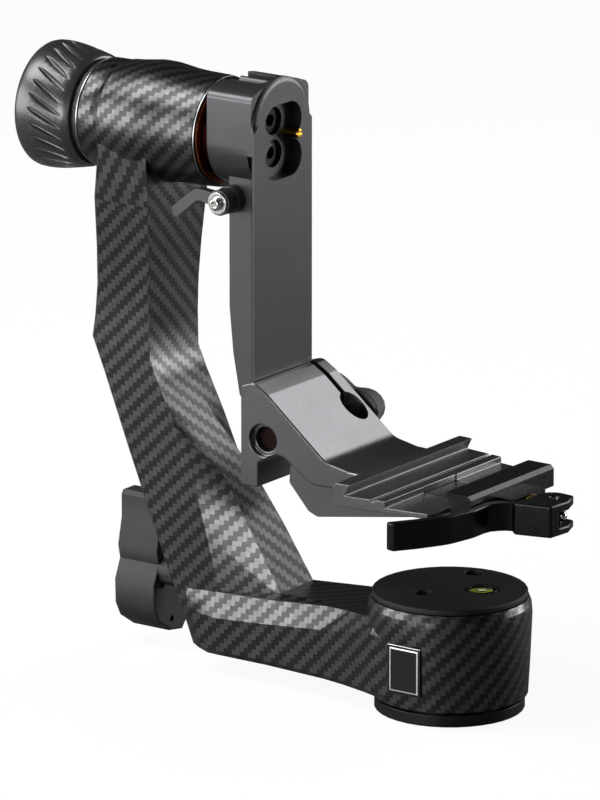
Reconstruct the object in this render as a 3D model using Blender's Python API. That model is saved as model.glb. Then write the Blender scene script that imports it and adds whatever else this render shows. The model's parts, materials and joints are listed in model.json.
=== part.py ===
"""Gimbal tripod head with a one-piece carbon arm, a forged swing arm and a quick-release platform.

Frame: origin at the centre of the foot's underside on the pan axis, +Z up.
The tilt axis runs along X. The camera platform is on the +X side of the arm.
"""
import math

import bmesh
import bpy
from mathutils import Vector

# Driving dimensions, in metres
TILT_HEIGHT = 0.2117
ARM_REACH = 0.1285
UPRIGHT_DEPTH = 0.0237
TUBE_RADIUS = 0.0220
TUBE_OVERHANG = 0.0225
TUBE_TAIL = 0.0088
HOUSING_RADIUS = 0.0317
HOUSING_HEIGHT = 0.0382
HUB_DEPTH = 0.0222
BAR_HALF_WIDTH = 0.0190
PLATFORM_DROP = 0.1219
CLAMP_HALF_LENGTH = 0.0415
KNOB_RADIUS = 0.0250

# Shared clearances
GAP = 0.0003
OVERRUN = 0.004

# Foot: disc, threaded bush, spindle and bearings
DISC_RADIUS = 0.0290
DISC_HEIGHT = 0.0048
DISC_BEVEL = 0.0005
FOOT_GROOVE = 0.0015
BUSH_RADIUS = 0.0090
BUSH_HEIGHT = 0.0117
BUSH_CROWN = 0.0017
THREAD_RADIUS = 0.00476
SPINDLE_RADIUS = 0.01485
SPINDLE_FLANGE_RADIUS = 0.0190
SPINDLE_FLANGE = 0.0036
SPINDLE_NECK_RADIUS = 0.0100
BEARING_WALL = 0.0058
PAN_BEARING_HEIGHT = 0.0055
PAN_NUT_HEIGHT = 0.0016
PAN_NUT_RADIUS = 0.0160
LINER_WALL = 0.0079
HOUSING_WALL = 0.0022
CAP_HEIGHT = 0.0022
CAP_RADIUS = 0.0300
CAP_BEVEL = 0.0004
CAP_HOLE_RADIUS = 0.0018
CAP_HOLE_DEPTH = 0.0014
CAP_HOLE_SHARES = ((-0.153, -0.363), (-0.147, 0.747))
LEVEL_RADIUS = 0.0064
LEVEL_RIM = 0.0013
LEVEL_DEPTH = 0.0035
LEVEL_PROUD = 0.0002
LEVEL_PLACE_SHARES = (0.36, 0.19)
BADGE_HALF_WIDTH = 0.0079
BADGE_BOTTOM = 0.0116
BADGE_HEIGHT = 0.0199
BADGE_THICKNESS = 0.0008
BADGE_INSET = 0.0010

# Carbon arm: beam along the bottom, blade going up to the tube
BEAM_BOTTOM = 0.0072
BEAM_TOP = 0.0357
BEAM_HALF_WIDTH = 0.0190
BLADE_HALF_WIDTH = 0.0159
CORNER_RADIUS = 0.0023
TUBE_WALL = 0.0025
SLEEVE_WALL = 0.0030
SLEEVE_LENGTH = 0.0030
SLEEVE_PROUD = 0.0012
SLEEVE_SEAT = 0.0008
LIP_WIDTH = 0.0012
LIP_THICKNESS = 0.0006

# Tilt spindle, bearings, friction parts and knob
TILT_LINER_WALL = 0.0029
TILT_SPINDLE_RADIUS = 0.0100
TILT_FLANGE = 0.0088
TILT_BEARING_LENGTH = 0.0070
SEAL_LENGTH = 0.0034
SEAL_RADIUS = 0.0200
FRICTION_THICKNESS = 0.0033
KNOB_LENGTH = 0.0245
KNOB_SOCKET = 0.0128
KNOB_GROOVES = 28
KNOB_GROOVE_DEPTH = 0.0009
KNOB_TWIST = math.radians(12)

# Pan knob and its brake
PAN_ROD_HEIGHT = 0.0315
PAN_ROD_RADIUS = 0.0020
PAN_KNOB_SPAN = 0.0305
PAN_KNOB_LENGTH = 0.0195
PAN_KNOB_STANDOFF = 0.0060
PAN_KNOB_BOSS_RADIUS = 0.0060
PAN_KNOB_BOSS_LENGTH = 0.0080
PAN_KNOB_BEVEL = 0.0012
PAN_KNOB_HOLE_RADIUS = 0.0013
PAN_KNOB_HOLE_DEPTH = 0.0030
SHOE_HALF_WIDTH = 0.0045
SHOE_HALF_HEIGHT = 0.0033

# Swing arm
HUB_STANDOFF = 0.0055
BAR_PLATE = 0.0032
BAR_NECK_INSET = 0.0028
BAR_BELOW = 0.1297
BAR_ARCH_RISE = 0.0060
HUB_RISE = 0.0038
ARCH_BEVEL = 0.0022
WEB_HALF_WIDTH = 0.0135
WEB_DEPTH = 0.0125
POCKET_RADIUS = 0.0075
POCKET_SIDE = 0.0047
POCKET_RISE = 0.0072
POCKET_DEPTH = 0.0047
SCREW_RISE = 0.0064
SCREW_CENTRE_RISE = 0.0008
SCREW_HEAD_RADIUS = 0.0052
SCREW_HEAD_LENGTH = 0.0050
SCREW_SHANK_RADIUS = 0.0025
SCREW_SHANK_LENGTH = 0.0150
SCREW_SOCKET_RADIUS = 0.0026
SCREW_SOCKET_DEPTH = 0.0026
PIN_RADIUS = 0.00185
PIN_SIDE = 0.0094
PIN_RISE = 0.0013
PIN_PROUD = 0.0026
PIN_DEPTH = 0.0040
PIN_SLOT = 0.0006
TOP_NOTCH_HALF_WIDTH = 0.0078
TOP_NOTCH_DEPTH = 0.0024
TOP_NOTCH_MARGIN = 0.0030
RIB_RADIUS = 0.0016
RIB_SPACING = 0.0070

# Hub lever and its screw
LEVER_DROP = 0.0217
LEVER_SETBACK = 0.0135
LUG_RADIUS = 0.0055
LUG_HALF_LENGTH = 0.0175
LUG_SLIT = 0.0012
LEVER_BOSS_RADIUS = 0.0050
LEVER_BAND = 0.0045
LEVER_BOSS_LENGTH = 0.0058
LEVER_REACH = 0.0215
LEVER_SCREW_RADIUS = 0.0016
LEVER_SCREW_HEAD = 0.0018
LEVER_SCREW_HEAD_RADIUS = 0.0026
WASHER_RADIUS = 0.0043
WASHER_THICKNESS = 0.0007
PINCH_NUT_RADIUS = 0.0040
PINCH_NUT_LENGTH = 0.0030

# Platform bracket and its clamp
BRACKET_DEPTH = 0.0575
BRACKET_HEIGHT = 0.0410
BRACKET_NEAR = 0.0215
BRACKET_FAR = 0.0250
BRACKET_LIP = 0.0049
BRACKET_BEVEL = 0.0014
SLOT_WIDTH = 0.0024
SLOT_LENGTH = 0.0208
SLOT_SIDE = 0.0177
RELIEF_RADIUS = 0.0054
SCREW_BORE_RADIUS = 0.0066
BRACKET_SCREW_AHEAD = 0.0058
BRACKET_SCREW_RISE = 0.0088
BRACKET_SCREW_RADIUS = 0.0047
BRACKET_SCREW_RECESS = 0.0045
PLATFORM_KNOB_RADIUS = 0.0200
PLATFORM_KNOB_LENGTH = 0.0110
PLATFORM_KNOB_STANDOFF = 0.0020
PLATFORM_KNOB_LOBES = 3
PLATFORM_KNOB_TURN = math.radians(15)
PLATFORM_KNOB_SOCKET = 0.0060
WEDGE_HALF_WIDTH = 0.0180
WEDGE_DROP = 0.0128

# Clamp plate, jaw, stud and lever
PLATE_THICKNESS = 0.0045
PLATE_START = 0.0526
PLATE_LENGTH = 0.0420
FIXED_JAW_WIDTH = 0.0077
FIXED_JAW_HEIGHT = 0.0044
FIXED_JAW_UNDERCUT = 0.0021
FLOOR_LENGTH = 0.0164
FLOOR_GROOVE_WIDTH = 0.0015
FLOOR_GROOVE_DEPTH = 0.0009
PLATE_TAPER_START = 0.0005
PLATE_CORNER = 0.0030
PLATE_TAPER_SHARE = 0.13
LEDGE_LENGTH = 0.0047
LEDGE_STEP = 0.0025
TONGUE_THICKNESS = 0.0010
TONGUE_NEAR = 0.0125
TONGUE_FAR = 0.0081
JAW_GAP = 0.0005
JAW_HALF_LENGTH = 0.0280
JAW_WIDTH = 0.0118
JAW_HEIGHT = 0.0084
JAW_TOP = 0.0044
JAW_BOSS_HALF_WIDTH = 0.0105
JAW_BOSS_LENGTH = 0.0079
JAW_BOSS_HEIGHT = 0.0124
STUD_DROP = 0.0056
STUD_RADIUS = 0.0016
STUD_ROOT = 0.0350
STUD_BALL_RADIUS = 0.0023
STUD_BALL_REACH = 0.0031
STUD_EYE_RADIUS = 0.0032
STUD_EYE_HALF_HEIGHT = 0.0025
THRUST_RADIUS = 0.0062
THRUST_LENGTH = 0.0024
CAM_RADIUS = 0.0070
CAM_OFFSET = 0.0010
CAM_CLEARANCE = 0.0005
LEVER_TOP = 0.0012
LEVER_HEIGHT = 0.0125
LEVER_SLOT_TOP = 0.0036
LEVER_SLOT_HEIGHT = 0.0060
HANDLE_INSET = 0.0011
LEVER_SPAN = 0.0680
PIVOT_PIN_RADIUS = 0.0015

# Places worked out from the sizes above
TUBE_MOUTH_X = -ARM_REACH + TUBE_OVERHANG
TUBE_TAIL_X = -ARM_REACH - UPRIGHT_DEPTH - TUBE_TAIL
HUB_BACK_X = TUBE_MOUTH_X + HUB_STANDOFF
BAR_FACE_X = HUB_BACK_X + HUB_DEPTH
HOUSING_BOTTOM = DISC_HEIGHT + FOOT_GROOVE
HOUSING_TOP = HOUSING_BOTTOM + HOUSING_HEIGHT
HOUSING_BORE = HOUSING_RADIUS - HOUSING_WALL
LINER_OUTER = HOUSING_BORE - GAP
LINER_INNER = LINER_OUTER - LINER_WALL
TUBE_BORE = TUBE_RADIUS - TUBE_WALL
PLATFORM_FLOOR = TILT_HEIGHT - PLATFORM_DROP
PLATE_START_X = BAR_FACE_X + PLATE_START
PLATE_END_X = PLATE_START_X + PLATE_LENGTH
PLATE_BOTTOM = PLATFORM_FLOOR - PLATE_THICKNESS
STUD_HEIGHT = PLATFORM_FLOOR - STUD_DROP
JAW_START_X = PLATE_END_X + JAW_GAP
JAW_END_X = JAW_START_X + JAW_WIDTH
JAW_BOSS_X = JAW_END_X + JAW_BOSS_LENGTH
THRUST_END_X = JAW_BOSS_X + GAP + THRUST_LENGTH
PIVOT_X = THRUST_END_X + CAM_CLEARANCE + CAM_RADIUS + CAM_OFFSET

# Segment counts of round pieces
FINE = 36
MEDIUM = 20
COARSE = 12


def clear_scene():
    for old in list(bpy.data.objects):
        bpy.data.objects.remove(old, do_unlink=True)


def finish(name, mesh, material, smooth_angle=35):
    """Turns a bmesh into a named object with faces pointing out."""
    bmesh.ops.recalc_face_normals(mesh, faces=mesh.faces)
    data = bpy.data.meshes.new(name)
    mesh.to_mesh(data)
    mesh.free()
    data.shade_smooth()
    data.set_sharp_from_angle(angle=math.radians(smooth_angle))
    item = bpy.data.objects.new(name, data)
    bpy.context.scene.collection.objects.link(item)
    if material:
        data.materials.append(material)
    return item


def spot(axis, across, up, along):
    """Places a point of a cross-section whose normal is the given axis."""
    if axis == "X":
        return Vector((along, across, up))
    if axis == "Y":
        return Vector((across, along, up))
    return Vector((across, up, along))


def turned(name, profile, axis, centre, steps, material):
    """Spins a profile of (radius, distance along) about an axis through the centre."""
    mesh = bmesh.new()
    points = [mesh.verts.new(spot(axis, radius, 0, along)) for radius, along in profile]
    edges = [mesh.edges.new(pair) for pair in zip(points, points[1:])]
    if profile[0][0] > 0 or profile[-1][0] > 0:
        edges.append(mesh.edges.new((points[-1], points[0])))
    direction = spot(axis, 0, 0, 1)
    bmesh.ops.spin(
        mesh, geom=points + edges, cent=(0, 0, 0), axis=direction,
        angle=math.tau, steps=steps, use_merge=True,
    )
    bmesh.ops.remove_doubles(mesh, verts=mesh.verts, dist=GAP / 100)
    bmesh.ops.translate(mesh, verts=mesh.verts, vec=Vector(centre))
    return finish(name, mesh, material)


def rod(name, radius, low, high, axis, centre, steps, material, bevel=0):
    """A plain round bar, with a small chamfer at both ends where one is given."""
    if bevel:
        profile = [(0, low), (radius - bevel, low), (radius, low + bevel)]
        profile += [(radius, high - bevel), (radius - bevel, high), (0, high)]
    else:
        profile = [(0, low), (radius, low), (radius, high), (0, high)]
    return turned(name, profile, axis, centre, steps, material)


def tube(name, inner, outer, low, high, axis, centre, steps, material):
    profile = [(inner, low), (outer, low), (outer, high), (inner, high)]
    return turned(name, profile, axis, centre, steps, material)


def extruded(name, outline, axis, low, high, material):
    """Extrudes an outline of (across, up) points between two distances along an axis."""
    mesh = bmesh.new()
    points = [mesh.verts.new(spot(axis, across, up, low)) for across, up in outline]
    face = mesh.faces.new(points)
    grown = bmesh.ops.extrude_face_region(mesh, geom=[face])
    moved = [part for part in grown["geom"] if isinstance(part, bmesh.types.BMVert)]
    bmesh.ops.translate(mesh, verts=moved, vec=spot(axis, 0, 0, high - low))
    return finish(name, mesh, material)


def block(name, low, high, material):
    outline = [(low[0], low[1]), (high[0], low[1]), (high[0], high[1]), (low[0], high[1])]
    return extruded(name, outline, "Z", low[2], high[2], material)


def lofted(name, rings, material, smooth_angle=35):
    """Joins closed rings of equal point count and caps both ends."""
    mesh = bmesh.new()
    loops = [[mesh.verts.new(point) for point in ring] for ring in rings]
    count = len(loops[0])
    for lower, upper in zip(loops, loops[1:]):
        for index in range(count):
            after = (index + 1) % count
            mesh.faces.new((lower[index], lower[after], upper[after], upper[index]))
    mesh.faces.new(loops[0])
    mesh.faces.new(loops[-1])
    return finish(name, mesh, material, smooth_angle)


def rounded(corners, steps=3):
    """Replaces each (across, up, radius) corner of an outline by an arc."""
    outline = []
    count = len(corners)
    for index, (across, up, radius) in enumerate(corners):
        here = Vector((across, up))
        if radius == 0:
            outline.append((across, up))
            continue
        before = Vector(corners[index - 1][:2]) - here
        after = Vector(corners[(index + 1) % count][:2]) - here
        half = before.angle(after) / 2
        room = min(before.length, after.length) * 0.48
        reach = min(radius / math.tan(half), room)
        start = here + before.normalized() * reach
        end = here + after.normalized() * reach
        for step in range(steps + 1):
            share = step / steps
            point = start.lerp(here, share).lerp(here.lerp(end, share), share)
            outline.append((point.x, point.y))
    return outline


def arc(centre, radius, first, last, steps):
    """Points on a circle between two angles in degrees."""
    points = []
    for step in range(steps + 1):
        angle = math.radians(first + (last - first) * step / steps)
        points.append((centre[0] + radius * math.cos(angle), centre[1] + radius * math.sin(angle)))
    return points


def hide(cutter):
    cutter.hide_render = True
    cutter.display_type = "WIRE"


def combine(target, operation, helpers):
    """Adds one live Boolean whose operands are all the hidden helpers of a collection."""
    group = bpy.data.collections.new(f"{target.name}_{operation.lower()}")
    bpy.context.scene.collection.children.link(group)
    for helper in helpers:
        hide(helper)
        group.objects.link(helper)
        bpy.context.scene.collection.objects.unlink(helper)
    change = target.modifiers.new(group.name, "BOOLEAN")
    change.operation = operation
    change.solver = "EXACT"
    change.operand_type = "COLLECTION"
    change.collection = group


def cut(target, *cutters):
    combine(target, "DIFFERENCE", cutters)


def fuse(target, *others):
    combine(target, "UNION", others)


def round_edges(target, width, segments=2, angle=40):
    """Rounds the sharp edges of a plain shape before it is cut."""
    change = target.modifiers.new("round_edges", "BEVEL")
    change.width = width
    change.segments = segments
    change.limit_method = "ANGLE"
    change.angle_limit = math.radians(angle)


def surface(name, colour, metallic, roughness):
    material = bpy.data.materials.new(name)
    material.use_nodes = True
    shader = material.node_tree.nodes["Principled BSDF"]
    shader.inputs["Base Color"].default_value = (*colour, 1)
    shader.inputs["Metallic"].default_value = metallic
    shader.inputs["Roughness"].default_value = roughness
    return material


def make_foot():
    """Foot disc, threaded bush, pan spindle, bearings and nut: what the tripod holds."""
    black = surface("black_anodised_foot", (0.02, 0.02, 0.021), 0.6, 0.4)
    steel = surface("turned_steel", (0.42, 0.42, 0.43), 1.0, 0.3)
    bearing = surface("bearing_steel", (0.5, 0.5, 0.5), 1.0, 0.2)
    brass = surface("bush_brass", (0.55, 0.4, 0.15), 1.0, 0.3)
    axis_foot = (0, 0, 0)
    inner = BUSH_RADIUS + GAP
    profile = [(inner, 0), (DISC_RADIUS - DISC_BEVEL, 0), (DISC_RADIUS, DISC_BEVEL)]
    profile += [(DISC_RADIUS, DISC_HEIGHT), (inner, DISC_HEIGHT)]
    turned("base_disc", profile, "Z", axis_foot, FINE, black)

    hole_top = BUSH_HEIGHT - BUSH_CROWN
    profile = [(0, hole_top), (THREAD_RADIUS, hole_top), (THREAD_RADIUS, 0)]
    profile += [(BUSH_RADIUS, 0), (BUSH_RADIUS, BUSH_HEIGHT), (0, BUSH_HEIGHT)]
    turned("thread_bush", profile, "Z", axis_foot, MEDIUM, brass)

    flange_bottom = DISC_HEIGHT + GAP
    flange_top = flange_bottom + SPINDLE_FLANGE
    nut_bottom = HOUSING_TOP - LEVEL_DEPTH - PAN_NUT_HEIGHT + CAP_HEIGHT - GAP * 3
    neck_bottom = nut_bottom - GAP
    spindle_top = nut_bottom + PAN_NUT_HEIGHT + GAP
    pocket_top = BUSH_HEIGHT + GAP
    profile = [(0, pocket_top), (inner, pocket_top), (inner, flange_bottom)]
    profile += [(SPINDLE_FLANGE_RADIUS, flange_bottom), (SPINDLE_FLANGE_RADIUS, flange_top)]
    profile += [(SPINDLE_RADIUS, flange_top), (SPINDLE_RADIUS, neck_bottom)]
    profile += [(SPINDLE_NECK_RADIUS, neck_bottom), (SPINDLE_NECK_RADIUS, spindle_top), (0, spindle_top)]
    turned("pan_spindle", profile, "Z", axis_foot, MEDIUM, steel)

    bore = SPINDLE_RADIUS + GAP
    outer = LINER_INNER - GAP
    low = flange_top + GAP
    tube("pan_bearing_lower", bore, outer, low, low + PAN_BEARING_HEIGHT, "Z", axis_foot, MEDIUM, bearing)
    high = neck_bottom
    tube("pan_bearing_upper", bore, outer, high - PAN_BEARING_HEIGHT, high, "Z", axis_foot, MEDIUM, bearing)
    top = nut_bottom + PAN_NUT_HEIGHT
    tube("pan_nut", SPINDLE_NECK_RADIUS + GAP, PAN_NUT_RADIUS, nut_bottom, top, "Z", axis_foot, MEDIUM, steel)


# Carbon arm outlines, as shares of the sizes that they follow.
# Blade stations: height above the beam, inner face, outer face, half width, crown half width, crown proud.
BLADE_SHARES = (
    (1.000, 1.000, 1.045, 1.340, 0.26, 0.00),
    (0.831, 1.000, 1.040, 1.215, 0.26, 0.01),
    (0.718, 1.010, 1.050, 1.095, 0.27, 0.02),
    (0.632, 1.016, 1.063, 1.038, 0.28, 0.03),
    (0.559, 1.016, 1.122, 1.000, 0.30, 0.04),
)
# Slope stations: outer (reach, rise), inner edge (reach, rise), crown (reach, rise), crown half width.
SLOPE_SHARES = (
    ((1.217, 0.508), (1.014, 0.480), (1.019, 0.474), 0.32),
    ((1.176, 0.430), (0.985, 0.432), (0.980, 0.412), 0.37),
    ((1.098, 0.269), (0.920, 0.339), (0.885, 0.322), 0.45),
    ((1.025, 0.126), (0.853, 0.231), (0.770, 0.228), 0.55),
    ((0.952, -0.014), (0.805, 0.105), (0.667, 0.118), 0.65),
    ((0.880, -0.110), (0.765, -0.012), (0.553, -0.010), 0.69),
)
# Beam stations: reach, half width, side height, chamfer half width, chamfer height, crown half width, top.
BEAM_SHARES = (
    (0.850, 1.000, 0.620, 0.836, 0.905, 0.55, 0.930),
    (0.762, 1.000, 0.635, 0.836, 0.905, 0.55, 0.935),
    (0.584, 1.000, 0.680, 0.840, 0.930, 0.58, 0.985),
    (0.358, 1.105, 0.768, 0.853, 1.000, 0.60, 1.004),
    (0.272, 1.210, 0.825, 0.930, 1.010, 0.65, 1.012),
    (0.183, 1.368, 0.875, 1.100, 1.028, 0.75, 1.028),
    (0.135, 1.475, 0.905, 1.280, 1.030, 0.85, 1.030),
    (0.060, 1.560, 0.905, 1.330, 1.030, 0.85, 1.030),
    (-0.020, 1.560, 0.905, 1.330, 1.030, 0.85, 1.030),
)
# Left end of the beam: reach and half width of its two sloping rings, and how far the slope leans.
BEAM_END_SHARES = ((0.853, 0.800), (0.800, 0.985))
BEAM_END_LEAN_SHARE = 0.40
# Tube profile: distance from the tail, as shares of its length, and radius.
TUBE_SHARES = (
    (0.000, 0.955), (0.012, 0.978), (0.110, 0.980), (0.140, 0.964), (0.180, 1.000),
    (0.262, 1.018), (0.430, 1.073), (0.520, 1.068), (0.605, 1.041), (0.690, 1.014),
    (0.780, 1.000), (0.950, 0.994), (1.000, 0.985),
)
# Housing profile: height as shares of its own, and radius.
HOUSING_SHARES = ((0.0, 0.953), (0.35, 0.976), (0.84, 1.0), (0.93, 0.990), (1.0, 0.956))


def blade_ring(outer, inner, crown, half_width, crown_half_width):
    """One closed ring of the blade from its outer face round to the inner crown."""
    side = [
        (outer[0], half_width - CORNER_RADIUS, outer[1]),
        (outer[0] + CORNER_RADIUS, half_width, outer[1]),
        (inner[0], half_width, inner[1]),
        (crown[0], crown_half_width, crown[1]),
    ]
    near = [Vector((x, -y, z)) for x, y, z in side]
    far = [Vector((x, y, z)) for x, y, z in reversed(side)]
    return near + far


def make_blade():
    rings = []
    rise = TILT_HEIGHT - BEAM_TOP
    for height, inner, outer, half, crown_half, proud in BLADE_SHARES:
        z = BEAM_TOP + rise * height
        x = -ARM_REACH * inner
        outer_point = (-(ARM_REACH + UPRIGHT_DEPTH * outer), z)
        crown_point = (x + BLADE_HALF_WIDTH * proud, z)
        half_width = BLADE_HALF_WIDTH * half
        rings.append(blade_ring(outer_point, (x, z), crown_point, half_width, BLADE_HALF_WIDTH * crown_half))
    for outer, inner, crown, crown_half in SLOPE_SHARES:
        points = [(-ARM_REACH * reach, BEAM_TOP + rise * up) for reach, up in (outer, inner, crown)]
        rings.append(blade_ring(*points, BLADE_HALF_WIDTH, BLADE_HALF_WIDTH * crown_half))
    return lofted("carbon_arm", rings, None, 30)


def beam_ring(x, half, side_top, chamfer_half, chamfer_top, crown_half, top, lean=0):
    """One ring of the beam. A lean moves its higher points outwards."""
    low = BEAM_BOTTOM
    levels = [
        (half - CORNER_RADIUS, low), (half, low + CORNER_RADIUS), (half, side_top),
        (chamfer_half, chamfer_top), (crown_half, top),
    ]
    near = [Vector((x - lean * (z - low), -y, z)) for y, z in levels]
    far = [Vector((x - lean * (z - low), y, z)) for y, z in reversed(levels)]
    return near + far


def make_beam():
    rings = []
    first = BEAM_SHARES[0]
    for reach, half in BEAM_END_SHARES:
        x = -ARM_REACH * reach
        width = BEAM_HALF_WIDTH * half
        rings.append(beam_ring(
            x, width, BEAM_TOP * first[2] + BEAM_BOTTOM * 0.3, min(width, BEAM_HALF_WIDTH * first[3]) - GAP,
            BEAM_TOP * first[4], BEAM_HALF_WIDTH * first[5], BEAM_TOP * first[6], BEAM_END_LEAN_SHARE,
        ))
    for reach, half, side, chamfer_half, chamfer, crown_half, top in BEAM_SHARES[1:]:
        rings.append(beam_ring(
            -ARM_REACH * reach, BEAM_HALF_WIDTH * half, BEAM_TOP * side, BEAM_HALF_WIDTH * chamfer_half,
            BEAM_TOP * chamfer, BEAM_HALF_WIDTH * crown_half, BEAM_TOP * top,
        ))
    return lofted("arm_beam", rings, None, 30)


def make_arm():
    """One-piece carbon arm: blade, beam, tube and housing, then its bores and recess."""
    carbon = surface("carbon_weave", (0.05, 0.05, 0.052), 0.0, 0.35)
    arm = make_blade()
    arm.data.materials.append(carbon)
    length = TUBE_MOUTH_X - TUBE_TAIL_X
    tilt_centre = (0, 0, TILT_HEIGHT)
    profile = [(0, TUBE_TAIL_X)]
    profile += [(TUBE_RADIUS * radius, TUBE_TAIL_X + length * share) for share, radius in TUBE_SHARES]
    profile.append((0, TUBE_MOUTH_X))
    shell = turned("arm_tube", profile, "X", tilt_centre, FINE, None)
    profile = [(0, HOUSING_BOTTOM)]
    profile += [(HOUSING_RADIUS * radius, HOUSING_BOTTOM + HOUSING_HEIGHT * share) for share, radius in HOUSING_SHARES]
    profile.append((0, HOUSING_TOP))
    housing = turned("arm_housing", profile, "Z", (0, 0, 0), FINE, None)
    fuse(arm, make_beam(), shell, housing)

    low = TUBE_TAIL_X - OVERRUN
    seat_start = TUBE_MOUTH_X + SLEEVE_PROUD - SLEEVE_LENGTH - GAP
    seat_radius = TUBE_BORE + SLEEVE_SEAT
    profile = [(0, low), (TUBE_BORE, low), (TUBE_BORE, seat_start), (seat_radius, seat_start)]
    profile += [(seat_radius, TUBE_MOUTH_X + OVERRUN), (0, TUBE_MOUTH_X + OVERRUN)]
    bore = turned("tube_bore", profile, "X", tilt_centre, FINE, None)
    housing_bore = rod(
        "housing_bore", HOUSING_BORE, HOUSING_BOTTOM - OVERRUN, HOUSING_TOP + OVERRUN, "Z", (0, 0, 0), FINE, None,
    )
    channel = rod(
        "rod_channel", PAN_ROD_RADIUS + GAP, -ARM_REACH - UPRIGHT_DEPTH, 0, "X", (0, 0, PAN_ROD_HEIGHT), COARSE, None,
    )
    recess_y = -HOUSING_RADIUS - OVERRUN
    recess = block(
        "badge_recess", (-BADGE_HALF_WIDTH, recess_y, BADGE_BOTTOM),
        (BADGE_HALF_WIDTH, recess_floor(), BADGE_BOTTOM + BADGE_HEIGHT), None,
    )
    cut(arm, bore, housing_bore, channel, recess)


def recess_floor():
    """Depth in Y of the flat that carries the plate on the housing."""
    return -HOUSING_RADIUS + BADGE_THICKNESS + BADGE_INSET


def make_housing_parts():
    """Liner, cap, level, plain plate and pan brake: what sits in the arm's foot housing."""
    aluminium = surface("liner_aluminium", (0.35, 0.35, 0.36), 1.0, 0.4)
    black = surface("black_anodised_cap", (0.012, 0.012, 0.013), 0.5, 0.5)
    rim = surface("level_rim", (0.1, 0.1, 0.1), 0.8, 0.4)
    fluid = surface("level_fluid", (0.45, 0.62, 0.05), 0.0, 0.1)
    plate = surface("badge_black", (0.01, 0.01, 0.011), 0.0, 0.3)
    bronze = surface("shoe_bronze", (0.4, 0.26, 0.12), 1.0, 0.45)
    middle = (0, 0, 0)
    low = HOUSING_BOTTOM + GAP
    liner = tube("base_liner", LINER_INNER, LINER_OUTER, low, HOUSING_TOP - GAP, "Z", middle, MEDIUM, aluminium)
    window = block(
        "shoe_window", (-LINER_OUTER - OVERRUN, -SHOE_HALF_WIDTH - GAP, PAN_ROD_HEIGHT - SHOE_HALF_HEIGHT - GAP),
        (-SPINDLE_RADIUS, SHOE_HALF_WIDTH + GAP, PAN_ROD_HEIGHT + SHOE_HALF_HEIGHT + GAP), None,
    )
    cut(liner, window)
    shoe_back = -LINER_OUTER + GAP * 3
    shoe = block(
        "brake_shoe", (shoe_back, -SHOE_HALF_WIDTH, PAN_ROD_HEIGHT - SHOE_HALF_HEIGHT),
        (-LINER_INNER + LINER_WALL, SHOE_HALF_WIDTH, PAN_ROD_HEIGHT + SHOE_HALF_HEIGHT), bronze,
    )
    face = rod(
        "shoe_face", SPINDLE_RADIUS + GAP, HOUSING_BOTTOM, HOUSING_TOP, "Z", middle, FINE, None,
    )
    cut(shoe, face)

    cap_low = HOUSING_TOP + GAP
    cap_high = cap_low + CAP_HEIGHT
    profile = [(0, cap_low), (CAP_RADIUS, cap_low), (CAP_RADIUS, cap_high - CAP_BEVEL)]
    profile += [(CAP_RADIUS - CAP_BEVEL, cap_high), (0, cap_high)]
    cap = turned("base_cap", profile, "Z", middle, FINE, black)
    cutters = []
    for index, (across, up) in enumerate(CAP_HOLE_SHARES):
        centre = (CAP_RADIUS * across, CAP_RADIUS * up, 0)
        bottom = cap_high - CAP_HOLE_DEPTH
        top = cap_high + OVERRUN
        cutters.append(rod(f"cap_hole_{index}", CAP_HOLE_RADIUS, bottom, top, "Z", centre, COARSE, None))
    centre = (CAP_RADIUS * LEVEL_PLACE_SHARES[0], CAP_RADIUS * LEVEL_PLACE_SHARES[1], 0)
    low = cap_low - OVERRUN
    cutters.append(rod("level_hole", LEVEL_RADIUS + GAP, low, cap_high + OVERRUN, "Z", centre, MEDIUM, None))
    cut(cap, *cutters)
    top = cap_high + LEVEL_PROUD
    vial_radius = LEVEL_RADIUS - LEVEL_RIM
    tube("level_ring", vial_radius, LEVEL_RADIUS, top - LEVEL_DEPTH, top, "Z", centre, MEDIUM, rim)
    vial_top = top - GAP * 2
    profile = [(0, top - LEVEL_DEPTH), (vial_radius - GAP, top - LEVEL_DEPTH), (vial_radius - GAP, vial_top - GAP)]
    profile += [(vial_radius * 0.7, vial_top), (0, vial_top + GAP)]
    turned("bubble_level", profile, "Z", centre, MEDIUM, fluid)

    back = recess_floor() - GAP
    badge = block(
        "badge_plate", (-BADGE_HALF_WIDTH + GAP, back - BADGE_THICKNESS, BADGE_BOTTOM + GAP),
        (BADGE_HALF_WIDTH - GAP, back, BADGE_BOTTOM + BADGE_HEIGHT - GAP), plate,
    )
    round_edges(badge, BADGE_THICKNESS / 4)


# Pan knob outline: across and up, as shares of its span from the rod.
PAN_KNOB_SHARES = (
    (-0.10, 1.00), (-0.14, 0.94), (-0.14, 0.64), (-0.22, 0.28), (-0.18, 0.10), (-0.29, -0.16),
    (-0.28, -0.48), (-0.18, -0.67), (0.08, -0.84), (0.34, -0.88), (0.44, -0.76), (0.42, -0.30),
    (0.26, 0.00), (0.22, 0.20), (0.26, 0.36), (0.18, 0.64), (0.18, 0.92), (0.12, 1.00),
)
PAN_KNOB_HOLE_SHARES = ((-0.11, -0.18), (0.10, -0.68))


def pan_knob_face_x():
    """Inner face of the pan knob, clear of the sloping arm beside its upper wing."""
    outer = SLOPE_SHARES[2][0]
    lower = SLOPE_SHARES[3][0]
    rise = TILT_HEIGHT - BEAM_TOP
    top = (PAN_ROD_HEIGHT + PAN_KNOB_SPAN - BEAM_TOP) / rise
    share = (top - lower[1]) / (outer[1] - lower[1])
    reach = lower[0] + (outer[0] - lower[0]) * share
    return -ARM_REACH * reach - GAP * 3


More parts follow.
